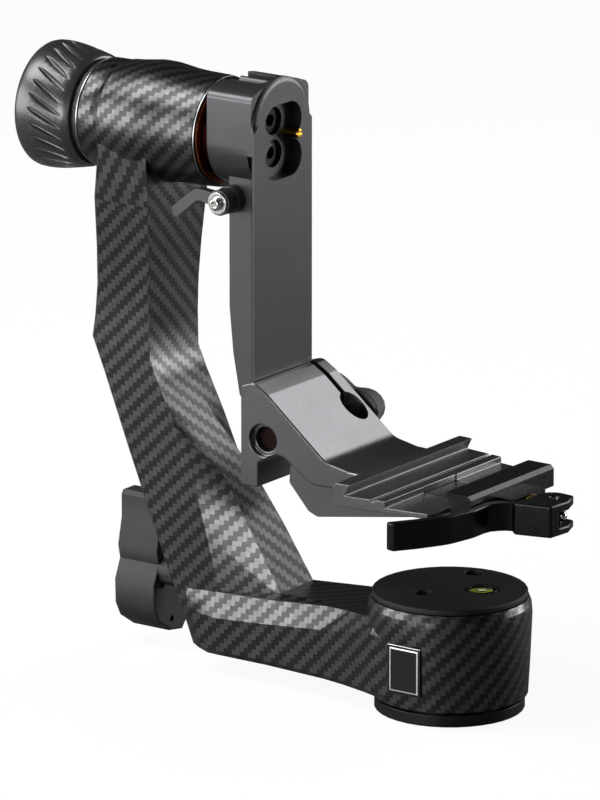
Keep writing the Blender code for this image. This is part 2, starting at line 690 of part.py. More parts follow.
def make_pan_brake():
    rubber = surface("knob_grey", (0.1, 0.1, 0.102), 0.2, 0.5)
    steel = surface("rod_steel", (0.4, 0.4, 0.41), 1.0, 0.3)
    centre = (0, 0, PAN_ROD_HEIGHT)
    face = pan_knob_face_x()
    outline = [(PAN_KNOB_SPAN * a, PAN_ROD_HEIGHT + PAN_KNOB_SPAN * b) for a, b in PAN_KNOB_SHARES]
    knob = extruded("pan_knob", outline, "X", face - PAN_KNOB_LENGTH, face, rubber)
    round_edges(knob, PAN_KNOB_BEVEL, 2, 60)
    boss = rod(
        "knob_boss", PAN_KNOB_BOSS_RADIUS, face - OVERRUN, face + PAN_KNOB_BOSS_LENGTH, "X", centre, COARSE, None,
    )
    fuse(knob, boss)
    socket_end = face - PAN_KNOB_LENGTH / 2
    cutters = [rod(
        "knob_socket", PAN_ROD_RADIUS + GAP, socket_end, face + PAN_KNOB_LENGTH, "X", centre, COARSE, None,
    )]
    for index, (across, up) in enumerate(PAN_KNOB_HOLE_SHARES):
        place = (0, PAN_KNOB_SPAN * across, PAN_ROD_HEIGHT + PAN_KNOB_SPAN * up)
        low = face - PAN_KNOB_HOLE_DEPTH
        name = f"knob_hole_{index}"
        cutters.append(rod(name, PAN_KNOB_HOLE_RADIUS, low, face + OVERRUN, "X", place, COARSE, None))
    cut(knob, *cutters)
    rod("pan_rod", PAN_ROD_RADIUS, socket_end + GAP, -LINER_OUTER + GAP * 2, "X", centre, COARSE, steel)


def make_tilt_parts():
    """Sleeve, lips, liner, spindle, bearings and friction parts on the tilt axis."""
    copper = surface("copper_sleeve", (0.55, 0.2, 0.09), 1.0, 0.3)
    bright = surface("bright_lip", (0.6, 0.6, 0.6), 1.0, 0.25)
    aluminium = surface("tilt_aluminium", (0.35, 0.35, 0.36), 1.0, 0.4)
    red = surface("dark_red_anodised", (0.12, 0.012, 0.01), 0.8, 0.35)
    bearing = surface("tilt_bearing_steel", (0.5, 0.5, 0.5), 1.0, 0.2)
    seal = surface("seal_black", (0.01, 0.01, 0.01), 0.0, 0.6)
    friction = surface("friction_fibre", (0.25, 0.2, 0.14), 0.0, 0.8)
    centre = (0, 0, TILT_HEIGHT)
    sleeve_outer = TUBE_BORE + SLEEVE_SEAT - GAP
    sleeve_end = TUBE_MOUTH_X + SLEEVE_PROUD
    tube(
        "tilt_sleeve", sleeve_outer - SLEEVE_WALL, sleeve_outer, sleeve_end - SLEEVE_LENGTH, sleeve_end,
        "X", centre, FINE, copper,
    )
    lip_inner = TUBE_BORE + SLEEVE_SEAT + GAP / 3
    start = TUBE_MOUTH_X + GAP
    tube("tube_lip_right", lip_inner, lip_inner + LIP_WIDTH, start, start + LIP_THICKNESS, "X", centre, FINE, bright)
    lip_inner = SEAL_RADIUS - LIP_WIDTH * 2 / 3
    end = TUBE_TAIL_X - GAP
    tube("tube_lip_left", SEAL_RADIUS + GAP, SEAL_RADIUS + LIP_WIDTH, end - LIP_THICKNESS, end, "X", centre, FINE, bright)

    liner_outer = TUBE_BORE - GAP
    liner_inner = liner_outer - TILT_LINER_WALL
    liner_end = sleeve_end - SLEEVE_LENGTH - GAP
    tube("tilt_liner", liner_inner, liner_outer, TUBE_TAIL_X, liner_end, "X", centre, MEDIUM, aluminium)

    ring_inner = TILT_SPINDLE_RADIUS + GAP
    ring_outer = liner_inner - GAP
    flange_end = HUB_BACK_X - GAP
    flange_start = flange_end - TILT_FLANGE
    knob_end = TUBE_TAIL_X - SEAL_LENGTH - GAP * 2
    spindle_start = knob_end - KNOB_SOCKET + GAP
    profile = [(0, spindle_start), (TILT_SPINDLE_RADIUS, spindle_start), (TILT_SPINDLE_RADIUS, flange_start)]
    flange_radius = sleeve_outer - SLEEVE_WALL - GAP * 2
    step = liner_end + GAP
    profile += [(ring_outer, flange_start), (ring_outer, step), (flange_radius, step)]
    profile += [(flange_radius, flange_end), (0, flange_end)]
    spindle = turned("tilt_spindle", profile, "X", centre, MEDIUM, red)
    cutters = []
    for index, rise in enumerate(screw_rises()):
        place = (0, 0, TILT_HEIGHT + rise)
        low = screw_seat_x() - SCREW_SHANK_LENGTH - GAP
        cutters.append(rod(
            f"spindle_hole_{index}", SCREW_SHANK_RADIUS + GAP, low, flange_end + OVERRUN, "X", place, COARSE, None,
        ))
    cut(spindle, *cutters)
    high = flange_start - GAP
    low = high - TILT_BEARING_LENGTH
    tube("tilt_bearing_right", ring_inner, ring_outer, low, high, "X", centre, MEDIUM, bearing)
    disc_start = TUBE_TAIL_X - GAP
    disc_end = disc_start + FRICTION_THICKNESS
    tube("friction_disc", ring_inner, ring_outer, disc_start, disc_end, "X", centre, MEDIUM, friction)
    low = disc_end + GAP
    tube("tilt_bearing_left", ring_inner, ring_outer, low, low + TILT_BEARING_LENGTH, "X", centre, MEDIUM, bearing)
    high = disc_start - GAP
    tube("seal_ring", ring_inner, SEAL_RADIUS, knob_end + GAP, high, "X", centre, MEDIUM, seal)
    make_tilt_knob(knob_end, ring_inner)


# Tilt knob: distance from its inner face as shares of its length, and radius.
KNOB_SHARES = (
    (0.00, 0.860), (0.06, 0.893), (0.20, 0.917), (0.34, 0.944), (0.48, 0.969),
    (0.62, 0.989), (0.80, 1.000), (0.93, 0.990), (1.00, 0.930),
)
KNOB_GROOVE_SPAN_SHARES = (0.14, 0.80)
KNOB_COLUMN_SHARES = (0.0, 1.0)
KNOB_GROOVE_WIDTH_SHARE = 0.50


def make_tilt_knob(face, bore):
    """Cone with slanted, lens-shaped grooves, closed at its outer end and bored for the spindle."""
    black = surface("black_anodised_knob", (0.03, 0.03, 0.031), 0.6, 0.4)
    pitch = math.tau / KNOB_GROOVES
    first, last = KNOB_GROOVE_SPAN_SHARES
    columns = [share * KNOB_GROOVE_WIDTH_SHARE for share in KNOB_COLUMN_SHARES]
    rings = []
    for distance, radius in KNOB_SHARES:
        along = (distance - first) / (last - first)
        depth = KNOB_GROOVE_DEPTH * max(0, 1 - (along * 2 - 1) ** 2)
        ring = []
        for groove in range(KNOB_GROOVES):
            for column, share in zip(columns, KNOB_COLUMN_SHARES):
                angle = (groove + column) * pitch - KNOB_TWIST * distance
                reach = KNOB_RADIUS * radius - depth * (1 - share ** 2)
                x = face - KNOB_LENGTH * distance
                ring.append(Vector((x, reach * math.cos(angle), TILT_HEIGHT + reach * math.sin(angle))))
        rings.append(ring)
    knob = lofted("tilt_knob", rings, black, 25)
    low = face - KNOB_SOCKET
    cut(knob, rod("knob_bore", bore, low, face + OVERRUN, "X", (0, 0, TILT_HEIGHT), FINE, None))


def screw_rises():
    """Heights of the two hub screws above the tilt axis."""
    return (SCREW_CENTRE_RISE + SCREW_RISE, SCREW_CENTRE_RISE - SCREW_RISE)


def screw_seat_x():
    """Plane under the heads of the hub screws."""
    return BAR_FACE_X - POCKET_DEPTH - SCREW_HEAD_LENGTH - GAP * 6


# Right half of the hub's flat-sided top: across and up, as shares of half its width and its rise.
HUB_TOP_SHARES = ((1.00, 0.770), (0.975, 0.835), (0.90, 0.895), (0.66, 0.965), (0.44, 1.000))
# Rear web of the swing arm: distance behind the bar, and height below the tilt axis, as shares.
WEB_SHARES = (
    (-0.10, 0.05), (1.00, 0.05), (1.00, 0.50), (0.86, 0.64), (0.62, 0.765), (0.30, 0.800), (-0.10, 0.835),
)


def dovetail_outline(grow, back):
    """Plan section of the bar's dovetail, grown by a clearance and run out to the back."""
    neck = BAR_HALF_WIDTH - BAR_NECK_INSET + grow
    edge = BAR_HALF_WIDTH + grow
    front = BAR_FACE_X + grow
    inner = BAR_FACE_X - BAR_PLATE - grow
    return [
        (front, -edge), (front, edge), (front - BAR_PLATE / 4, edge), (inner, neck),
        (back, neck), (back, -neck), (inner, -neck), (front - BAR_PLATE / 4, -edge),
    ]


def make_swing_arm():
    """Forged bar with dovetail edges, hub block, rear web and lever lug, with its screw pocket."""
    forged = surface("forged_satin", (0.09, 0.09, 0.092), 0.6, 0.45)
    tilt_centre = (0, 0, TILT_HEIGHT)
    bottom = TILT_HEIGHT - BAR_BELOW
    arch_centre = TILT_HEIGHT + BAR_ARCH_RISE
    plate_back = BAR_FACE_X - BAR_PLATE
    neck = BAR_HALF_WIDTH - BAR_NECK_INSET
    outline = [(-BAR_HALF_WIDTH, bottom + BAR_NECK_INSET), (-neck, bottom), (neck, bottom)]
    outline += [(BAR_HALF_WIDTH, bottom + BAR_NECK_INSET)]
    outline += arc((0, arch_centre), BAR_HALF_WIDTH, 0, 180, 24)
    shrink = 1 - ARCH_BEVEL / BAR_HALF_WIDTH
    front = []
    for across, up in outline:
        if up > arch_centre:
            front.append((across * shrink, arch_centre + (up - arch_centre) * shrink))
        else:
            front.append((across, up))
    bevel_start = BAR_FACE_X - ARCH_BEVEL / 2
    rings = [[Vector((plate_back, a, b)) for a, b in outline]]
    rings.append([Vector((bevel_start, a, b)) for a, b in outline])
    rings.append([Vector((BAR_FACE_X, a, b)) for a, b in front])
    arm = lofted("swing_arm", rings, forged)

    hub_top = TILT_HEIGHT + HUB_RISE + BAR_HALF_WIDTH
    hub_outline = arc((0, TILT_HEIGHT), BAR_HALF_WIDTH, 180, 360, 20)
    top_half = [(BAR_HALF_WIDTH * across, TILT_HEIGHT + (HUB_RISE + BAR_HALF_WIDTH) * up) for across, up in HUB_TOP_SHARES]
    hub_outline += top_half
    hub_outline += [(-across, up) for across, up in reversed(top_half)]
    hub = extruded("hub_block", hub_outline, "X", HUB_BACK_X, plate_back + BAR_PLATE / 2, None)
    web_outline = [(plate_back - WEB_DEPTH * back, TILT_HEIGHT - BAR_BELOW * down) for back, down in WEB_SHARES]
    web = extruded("rear_web", web_outline, "Y", -WEB_HALF_WIDTH, WEB_HALF_WIDTH, None)
    lug = rod(
        "lever_lug", LUG_RADIUS, -LUG_HALF_LENGTH, LUG_HALF_LENGTH, "Y", lever_centre(), MEDIUM, None,
    )
    fuse(arm, hub, web, lug)

    cutters = []
    for side in (-1, 1):
        edge = BAR_FACE_X - BAR_PLATE / 4
        back = plate_back - GAP
        section = [
            (edge, side * BAR_HALF_WIDTH), (edge, side * (BAR_HALF_WIDTH + OVERRUN)),
            (back, side * (BAR_HALF_WIDTH + OVERRUN)), (back, side * (neck - GAP / 2)),
        ]
        top = TILT_HEIGHT - BAR_NECK_INSET
        cutters.append(extruded(f"dovetail_side_{side}", section, "Z", bottom - OVERRUN, top, None))
        place = TILT_HEIGHT + side * POCKET_RISE
        lobe = arc((POCKET_SIDE, place), POCKET_RADIUS, -90, 90, 14)
        lobe += arc((-POCKET_SIDE, place), POCKET_RADIUS, 90, 270, 14)
        low = BAR_FACE_X - POCKET_DEPTH
        cutters.append(extruded(f"pocket_lobe_{side}", lobe, "X", low, BAR_FACE_X + OVERRUN, None))
    for index, rise in enumerate(screw_rises()):
        place = (0, 0, TILT_HEIGHT + rise)
        seat = screw_seat_x()
        name = f"screw_head_hole_{index}"
        cutters.append(rod(name, SCREW_HEAD_RADIUS + GAP, seat, BAR_FACE_X, "X", place, MEDIUM, None))
        low = HUB_BACK_X - OVERRUN
        name = f"screw_hole_{index}"
        cutters.append(rod(name, SCREW_SHANK_RADIUS + GAP, low, BAR_FACE_X, "X", place, COARSE, None))
    place = (0, PIN_SIDE, TILT_HEIGHT + PIN_RISE)
    low = BAR_FACE_X - PIN_DEPTH - GAP
    cutters.append(rod("pin_hole", PIN_RADIUS + GAP, low, BAR_FACE_X + OVERRUN, "X", place, COARSE, None))
    notch_end = plate_back - TOP_NOTCH_MARGIN
    notch = block(
        "top_notch", (HUB_BACK_X - OVERRUN, -TOP_NOTCH_HALF_WIDTH, hub_top - TOP_NOTCH_DEPTH),
        (notch_end, TOP_NOTCH_HALF_WIDTH, hub_top + OVERRUN), None,
    )
    ribs = []
    for side in (-1, 1):
        place = (0, side * RIB_SPACING / 2, hub_top - TOP_NOTCH_DEPTH)
        ribs.append(rod(f"notch_rib_{side}", RIB_RADIUS, HUB_BACK_X, BAR_FACE_X, "X", place, COARSE, None))
    cut(notch, *ribs)
    lug_x, _, lug_z = lever_centre()
    slit = block(
        "lug_slit", (lug_x - LUG_RADIUS - OVERRUN, -LUG_SLIT / 2, lug_z - LUG_RADIUS - OVERRUN),
        (lug_x + LUG_RADIUS / 2, LUG_SLIT / 2, lug_z + LUG_RADIUS / 2), None,
    )
    reach = LUG_HALF_LENGTH + OVERRUN
    hole = rod("lug_hole", LEVER_SCREW_RADIUS + GAP, -reach, reach, "Y", lever_centre(), COARSE, None)
    cut(arm, *cutters, notch, slit, hole)


def lever_centre():
    """Hinge of the small lever, on the lug below the hub."""
    return (BAR_FACE_X - LEVER_SETBACK, 0, TILT_HEIGHT - LEVER_DROP)


def make_hub_hardware():
    """Two pocket screws and the slotted pin in the face of the swing arm."""
    black = surface("screw_black", (0.05, 0.05, 0.05), 0.8, 0.4)
    brass = surface("pin_brass", (0.75, 0.52, 0.12), 1.0, 0.25)
    seat = screw_seat_x() + GAP
    head_end = seat + SCREW_HEAD_LENGTH
    for name, rise in zip(("hub_screw_upper", "hub_screw_lower"), screw_rises()):
        place = (0, 0, TILT_HEIGHT + rise)
        profile = [(0, seat - SCREW_SHANK_LENGTH), (SCREW_SHANK_RADIUS, seat - SCREW_SHANK_LENGTH)]
        profile += [(SCREW_SHANK_RADIUS, seat), (SCREW_HEAD_RADIUS, seat), (SCREW_HEAD_RADIUS, head_end), (0, head_end)]
        screw = turned(name, profile, "X", place, MEDIUM, black)
        low = head_end - SCREW_SOCKET_DEPTH
        cut(screw, rod(f"{name}_hex", SCREW_SOCKET_RADIUS, low, head_end + OVERRUN, "X", place, 6, None))
    place = (0, PIN_SIDE, TILT_HEIGHT + PIN_RISE)
    end = BAR_FACE_X + PIN_PROUD
    pin = rod("stop_pin", PIN_RADIUS, BAR_FACE_X - PIN_DEPTH, end, "X", place, COARSE, brass, GAP)
    low = end - PIN_SLOT
    cut(pin, block(
        "pin_slot", (low, PIN_SIDE - PIN_RADIUS * 2, place[2] - PIN_SLOT / 2),
        (end + OVERRUN, PIN_SIDE + PIN_RADIUS * 2, place[2] + PIN_SLOT / 2), None,
    ))


# Side outline of the hub lever's arm: forward and up from its hinge, as shares of its reach.
HUB_LEVER_SHARES = (
    (0.05, 0.14), (-0.44, 0.19), (-0.56, 0.17), (-1.04, -0.22), (-1.02, -0.36), (-0.93, -0.39),
    (-0.50, -0.03), (-0.42, -0.02), (0.05, -0.12),
)


def make_hub_lever():
    black = surface("lever_black", (0.04, 0.04, 0.041), 0.6, 0.45)
    silver = surface("screw_silver", (0.75, 0.75, 0.75), 1.0, 0.2)
    centre = lever_centre()
    inner = -LUG_HALF_LENGTH - GAP
    outer = inner - LEVER_BOSS_LENGTH
    lever = rod("hub_lever", LEVER_BOSS_RADIUS, outer, inner, "Y", centre, MEDIUM, black)
    outline = [(centre[0] + LEVER_REACH * a, centre[2] + LEVER_REACH * b) for a, b in HUB_LEVER_SHARES]
    arm = extruded("lever_arm", outline, "Y", outer + GAP, outer + LEVER_BAND, None)
    fuse(lever, arm)
    cut(lever, rod(
        "lever_hole", LEVER_SCREW_RADIUS + GAP, outer - OVERRUN, inner + OVERRUN, "Y", centre, COARSE, None,
    ))
    washer_end = outer - GAP
    washer_start = washer_end - WASHER_THICKNESS
    bore = LEVER_SCREW_RADIUS + GAP
    tube("lever_washer", bore, WASHER_RADIUS, washer_start, washer_end, "Y", centre, MEDIUM, silver)
    head_end = washer_start - GAP
    head_start = head_end - LEVER_SCREW_HEAD
    tail = LUG_HALF_LENGTH + GAP + PINCH_NUT_LENGTH
    profile = [(0, head_start), (LEVER_SCREW_HEAD_RADIUS * 0.7, head_start)]
    profile += [(LEVER_SCREW_HEAD_RADIUS, head_start + LEVER_SCREW_HEAD / 2), (LEVER_SCREW_HEAD_RADIUS, head_end)]
    profile += [(LEVER_SCREW_RADIUS, head_end), (LEVER_SCREW_RADIUS, tail), (0, tail)]
    screw = turned("lever_screw", profile, "Y", centre, COARSE, silver)
    cut(screw, rod(
        "lever_screw_socket", LEVER_SCREW_HEAD_RADIUS / 2, head_start - OVERRUN, head_start + LEVER_SCREW_HEAD / 2,
        "Y", centre, 6, None,
    ))
    low = LUG_HALF_LENGTH + GAP
    tube("pinch_nut", bore, PINCH_NUT_RADIUS, low, low + PINCH_NUT_LENGTH, "Y", centre, 6, silver)


# Side outlines of the platform: ahead of the bar's face and above the floor, as shares of depth and height.
BRACKET_SHARES = (
    (-0.085, 0.715, 0.05), (0.023, 0.760, 0.10), (0.140, 0.660, 0.12), (0.610, 0.117, 0.25),
    (0.800, 0.066, 0.05), (0.945, 0.060, 0), (0.945, -0.100, 0), (0.660, -0.122, 0), (0.495, -0.122, 0.05),
    (0.271, 0.083, 0.05), (0.210, 0.100, 0.03), (0.148, 0.044, 0.03), (0.057, -0.010, 0.04),
    (0.057, -0.250, 0.02), (-0.085, -0.256, 0.03),
)
WEDGE_SHARES = (
    (0.284, 0.020, 0), (0.270, -0.170, 0.04), (0.428, -0.415, 0.08), (0.501, -0.454, 0.06),
    (1.345, -0.262, 0), (1.605, -0.200, 0.02), (1.605, -0.080, 0), (0.700, -0.050, 0), (0.500, 0.060, 0),
)


def side_outline(shares):
    """Turns shares of the bracket's depth and height into a rounded outline in X and Z."""
    corners = []
    for ahead, up, radius in shares:
        corners.append((
            BAR_FACE_X + BRACKET_DEPTH * ahead, PLATFORM_FLOOR + BRACKET_HEIGHT * up, BRACKET_HEIGHT * radius,
        ))
    return rounded(corners)


def bracket_screw_centre():
    return (BAR_FACE_X + BRACKET_SCREW_AHEAD, 0, PLATFORM_FLOOR + BRACKET_SCREW_RISE)


def plate_section():
    """Cross-section of the clamp plate: fixed jaw with its undercut, floor, groove, ledge and step."""
    start = PLATE_START_X
    floor = PLATFORM_FLOOR
    lip = start + FIXED_JAW_WIDTH
    root = lip - FIXED_JAW_UNDERCUT
    groove = start + FLOOR_LENGTH
    ledge = groove + FLOOR_GROOVE_WIDTH
    step = ledge + LEDGE_LENGTH
    return [
        (start, PLATE_BOTTOM), (start, floor + FIXED_JAW_HEIGHT * 0.6), (start + FIXED_JAW_HEIGHT * 0.3, floor + FIXED_JAW_HEIGHT),
        (lip, floor + FIXED_JAW_HEIGHT), (root, floor + FIXED_JAW_HEIGHT * 0.15), (root, floor),
        (groove, floor), (groove, floor - FLOOR_GROOVE_DEPTH), (ledge, floor - FLOOR_GROOVE_DEPTH), (ledge, floor),
        (step, floor), (step, floor - LEDGE_STEP), (PLATE_END_X, floor - LEDGE_STEP), (PLATE_END_X, PLATE_BOTTOM),
    ]


def plate_end_cutter(side):
    """Takes one end of the clamp plate back along a slope, with a rounded far corner."""
    start = PLATE_START_X - OVERRUN
    far = PLATE_END_X + OVERRUN
    wide = CLAMP_HALF_LENGTH + PLATE_TAPER_START
    corner_x = PLATE_END_X - PLATE_CORNER
    corner_y = wide - PLATE_TAPER_SHARE * (corner_x - PLATE_START_X)
    edge = corner_y - PLATE_CORNER
    outside = CLAMP_HALF_LENGTH + OVERRUN
    outline = [(start, wide + PLATE_TAPER_SHARE * OVERRUN), (corner_x, corner_y)]
    outline += arc((corner_x, edge), PLATE_CORNER, 75, 0, 5)
    outline += [(far, edge), (far, outside), (start, outside)]
    points = [(x, side * y) for x, y in outline]
    high = PLATFORM_FLOOR + FIXED_JAW_HEIGHT + OVERRUN
    return extruded(f"plate_end_cutter_{side}", points, "Z", PLATE_BOTTOM - OVERRUN, high, None)


def ledge_end_x():
    return PLATE_START_X + FLOOR_LENGTH + FLOOR_GROOVE_WIDTH + LEDGE_LENGTH


def make_platform():
    """Bracket that slides on the bar, with its pinch slot, wedge and long clamp plate."""
    forged = surface("forged_bracket", (0.1, 0.1, 0.102), 0.6, 0.4)
    body = extruded("platform_bracket", side_outline(BRACKET_SHARES), "Y", -BRACKET_NEAR, BRACKET_FAR, forged)
    round_edges(body, BRACKET_BEVEL, 2, 50)
    wedge = extruded("platform_wedge", side_outline(WEDGE_SHARES), "Y", -WEDGE_HALF_WIDTH, WEDGE_HALF_WIDTH, None)
    plate = extruded("clamp_plate", plate_section(), "Y", -CLAMP_HALF_LENGTH, CLAMP_HALF_LENGTH, None)
    fuse(body, wedge, plate)

    back = BAR_FACE_X - BRACKET_LIP - OVERRUN
    low = PLATFORM_FLOOR - BRACKET_HEIGHT
    high = PLATFORM_FLOOR + BRACKET_HEIGHT
    channel = extruded("bar_channel", dovetail_outline(GAP, back), "Z", low, high, None)
    slot_start = BAR_FACE_X + GAP / 2
    slot_end = BAR_FACE_X + SLOT_LENGTH
    slot_low = SLOT_SIDE - SLOT_WIDTH / 2
    slot = block("pinch_slot", (slot_start, slot_low, low), (slot_end, slot_low + SLOT_WIDTH, high), None)
    relief = rod("relief_hole", RELIEF_RADIUS, low, high, "Z", (slot_end, SLOT_SIDE, 0), MEDIUM, None)

    centre = bracket_screw_centre()
    screw = BRACKET_SCREW_RADIUS + GAP
    mouth_end = -BAR_HALF_WIDTH - GAP
    low_y = -BRACKET_NEAR - OVERRUN
    high_y = BRACKET_FAR + OVERRUN
    profile = [(0, low_y), (SCREW_BORE_RADIUS, low_y), (SCREW_BORE_RADIUS, mouth_end)]
    profile += [(screw, mouth_end), (screw, high_y), (0, high_y)]
    bore = turned("screw_bore", profile, "Y", centre, MEDIUM, None)
    pocket_low = PLATFORM_FLOOR - LEDGE_STEP - TONGUE_THICKNESS - GAP
    pocket = block(
        "tongue_pocket", (ledge_end_x() - GAP / 2, -TONGUE_NEAR - GAP, pocket_low),
        (PLATE_END_X + OVERRUN, TONGUE_FAR + GAP, PLATFORM_FLOOR + OVERRUN), None,
    )
    stud_start = PIVOT_X - STUD_ROOT - OVERRUN * 7
    stud_hole = rod(
        "stud_hole", STUD_RADIUS + GAP, stud_start - GAP, PLATE_END_X + OVERRUN, "X", (0, 0, STUD_HEIGHT), COARSE, None,
    )
    cut(body, channel, slot, relief, bore, pocket, stud_hole, plate_end_cutter(-1), plate_end_cutter(1))


def make_platform_clamp():
    """Clamp screw of the bracket and its lobed knob on the far side."""
    red = surface("red_anodised_screw", (0.14, 0.02, 0.02), 0.8, 0.4)
    grey = surface("platform_knob_grey", (0.12, 0.12, 0.122), 0.2, 0.5)
    centre = bracket_screw_centre()
    near = -BRACKET_NEAR + BRACKET_SCREW_RECESS
    start = BRACKET_FAR + PLATFORM_KNOB_STANDOFF
    socket_end = start + PLATFORM_KNOB_SOCKET
    rod("bracket_screw", BRACKET_SCREW_RADIUS, near, socket_end - GAP, "Y", centre, MEDIUM, red)
    outline = []
    steps = MEDIUM * 2
    for step in range(steps):
        angle = math.tau * step / steps
        lobe = 0.5 + 0.5 * math.cos(PLATFORM_KNOB_LOBES * (angle - PLATFORM_KNOB_TURN))
        outline.append((angle, PLATFORM_KNOB_RADIUS * (0.56 + 0.44 * lobe)))
    rings = []
    for along, grow in ((0, 0.95), (0.06, 1.0), (0.9, 0.84), (1.0, 0.78)):
        y = start + PLATFORM_KNOB_LENGTH * along
        rings.append([
            Vector((centre[0] + radius * grow * math.cos(angle), y, centre[2] + radius * grow * math.sin(angle)))
            for angle, radius in outline
        ])
    knob = lofted("platform_knob", rings, grey)
    bore = BRACKET_SCREW_RADIUS + GAP
    cut(knob, rod("platform_knob_bore", bore, start - OVERRUN, socket_end, "Y", centre, MEDIUM, None))


def make_jaw():
    """Movable jaw with its tongue and boss, the brass thrust bush and the stud."""
    black = surface("jaw_black", (0.035, 0.035, 0.036), 0.7, 0.35)
    brass = surface("thrust_brass", (0.7, 0.5, 0.15), 1.0, 0.3)
    steel = surface("stud_steel", (0.7, 0.7, 0.7), 1.0, 0.15)
    floor = PLATFORM_FLOOR
    start = JAW_START_X
    top = floor + JAW_TOP
    low = top - JAW_HEIGHT
    edge = JAW_TOP / 3
    outline = [
        (start + FIXED_JAW_UNDERCUT, low), (start + FIXED_JAW_UNDERCUT, floor), (start, top), (JAW_END_X - edge, top),
        (JAW_END_X, top - edge), (JAW_END_X, low),
    ]
    jaw = extruded("movable_jaw", outline, "Y", -JAW_HALF_LENGTH, JAW_HALF_LENGTH, black)
    tongue_top = floor - LEDGE_STEP
    tongue = block(
        "jaw_tongue", (ledge_end_x() + GAP, -TONGUE_NEAR, tongue_top - TONGUE_THICKNESS),
        (start + JAW_WIDTH / 2, TONGUE_FAR, tongue_top), None,
    )
    boss_low = STUD_HEIGHT - JAW_BOSS_HEIGHT / 2
    boss = block(
        "jaw_boss", (start + JAW_WIDTH / 3, -JAW_BOSS_HALF_WIDTH, boss_low),
        (JAW_BOSS_X, JAW_BOSS_HALF_WIDTH, boss_low + JAW_BOSS_HEIGHT), None,
    )
    fuse(jaw, tongue, boss)
    centre = (0, 0, STUD_HEIGHT)
    cut(jaw, rod("jaw_bore", STUD_RADIUS + GAP, PLATE_END_X, JAW_BOSS_X + OVERRUN, "X", centre, COARSE, None))
    low = JAW_BOSS_X + GAP
    tube("thrust_bush", STUD_RADIUS + GAP, THRUST_RADIUS, low, low + THRUST_LENGTH, "X", centre, MEDIUM, brass)

    ball_x = PIVOT_X + STUD_BALL_REACH
    stud_start = PIVOT_X - STUD_ROOT - OVERRUN * 7
    stud = rod("clamp_stud", STUD_RADIUS, stud_start, ball_x, "X", centre, COARSE, steel)
    pivot = (PIVOT_X, 0, STUD_HEIGHT)
    eye = rod("stud_eye", STUD_EYE_RADIUS, -STUD_EYE_HALF_HEIGHT, STUD_EYE_HALF_HEIGHT, "Z", pivot, COARSE, None)
    profile = [(STUD_BALL_RADIUS * math.sin(t), -STUD_BALL_RADIUS * math.cos(t)) for t in half_turn(10)]
    ball = turned("stud_ball", profile, "X", (ball_x, 0, STUD_HEIGHT), COARSE, None)
    fuse(stud, eye, ball)
    reach = LEVER_HEIGHT
    cut(stud, rod("eye_hole", PIVOT_PIN_RADIUS + GAP, -reach, reach, "Z", pivot, COARSE, None))


def half_turn(steps):
    """Angles from pole to pole, with exact poles."""
    return [math.pi * step / steps for step in range(steps + 1)]


# Plan outline of the clamp lever from its pivot, as shares of its span. The handle's points also have a bend radius.
CAM_BLOCK_SHARES = ((-0.118, -0.140), (-0.120, -0.230), (-0.013, -0.204), (0.095, -0.176), (0.110, -0.020), (0.066, 0.095))
HANDLE_SHARES = (
    (-0.438, -0.944, 0.02), (-0.353, -0.819, 0.30), (-0.262, -0.654, 0.30), (-0.225, -0.463, 0.30),
    (-0.226, -0.300, 0.12), (-0.150, -0.232, 0.10), (-0.040, -0.210, 0), (-0.040, -0.120, 0),
    (-0.110, -0.120, 0), (-0.160, -0.166, 0.05), (-0.249, -0.218, 0.10), (-0.273, -0.300, 0.12),
    (-0.273, -0.463, 0.30), (-0.319, -0.640, 0.30), (-0.409, -0.791, 0.30), (-0.494, -0.915, 0.01),
    (-0.488, -0.930, 0.01),
)


def make_clamp_lever():
    """Forked cam lever on a vertical pin, with its long curved handle."""
    black = surface("clamp_lever_black", (0.03, 0.03, 0.031), 0.6, 0.35)
    steel = surface("pivot_steel", (0.5, 0.5, 0.5), 1.0, 0.25)
    top = PLATFORM_FLOOR + LEVER_TOP
    low = top - LEVER_HEIGHT
    outline = [(PIVOT_X + LEVER_SPAN * a, LEVER_SPAN * b) for a, b in CAM_BLOCK_SHARES]
    outline += arc((PIVOT_X - CAM_OFFSET, 0), CAM_RADIUS, 75, 180, 12)
    lever = extruded("clamp_lever", outline, "Z", low, top, black)
    corners = [(PIVOT_X + LEVER_SPAN * a, LEVER_SPAN * b, LEVER_SPAN * bend) for a, b, bend in HANDLE_SHARES]
    outline = rounded(corners, 2)
    handle = extruded("lever_handle", outline, "Z", low + HANDLE_INSET, top - HANDLE_INSET / 2, None)
    fuse(lever, handle)
    slot_top = top - LEVER_SLOT_TOP
    reach = LEVER_SPAN / 4
    slot_near = -CAM_RADIUS + GAP
    slot = block(
        "lever_slot", (PIVOT_X - reach, slot_near, slot_top - LEVER_SLOT_HEIGHT), (PIVOT_X + reach, reach, slot_top), None,
    )
    pivot = (PIVOT_X, 0, 0)
    hole = rod("pin_bore", PIVOT_PIN_RADIUS + GAP, low - OVERRUN, top + OVERRUN, "Z", pivot, COARSE, None)
    cut(lever, slot, hole)
    rod("lever_pin", PIVOT_PIN_RADIUS, low, top - GAP, "Z", pivot, COARSE, steel, GAP)


clear_scene()
make_foot()
make_arm()
make_housing_parts()
make_pan_brake()
make_tilt_parts()
make_swing_arm()
make_hub_hardware()
make_hub_lever()
make_platform()
make_platform_clamp()
make_jaw()
make_clamp_lever()
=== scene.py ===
"""Gimbal tripod head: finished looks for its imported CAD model, laid out as an add-on."""
import json
import math

import bpy
from mathutils import Matrix, Vector


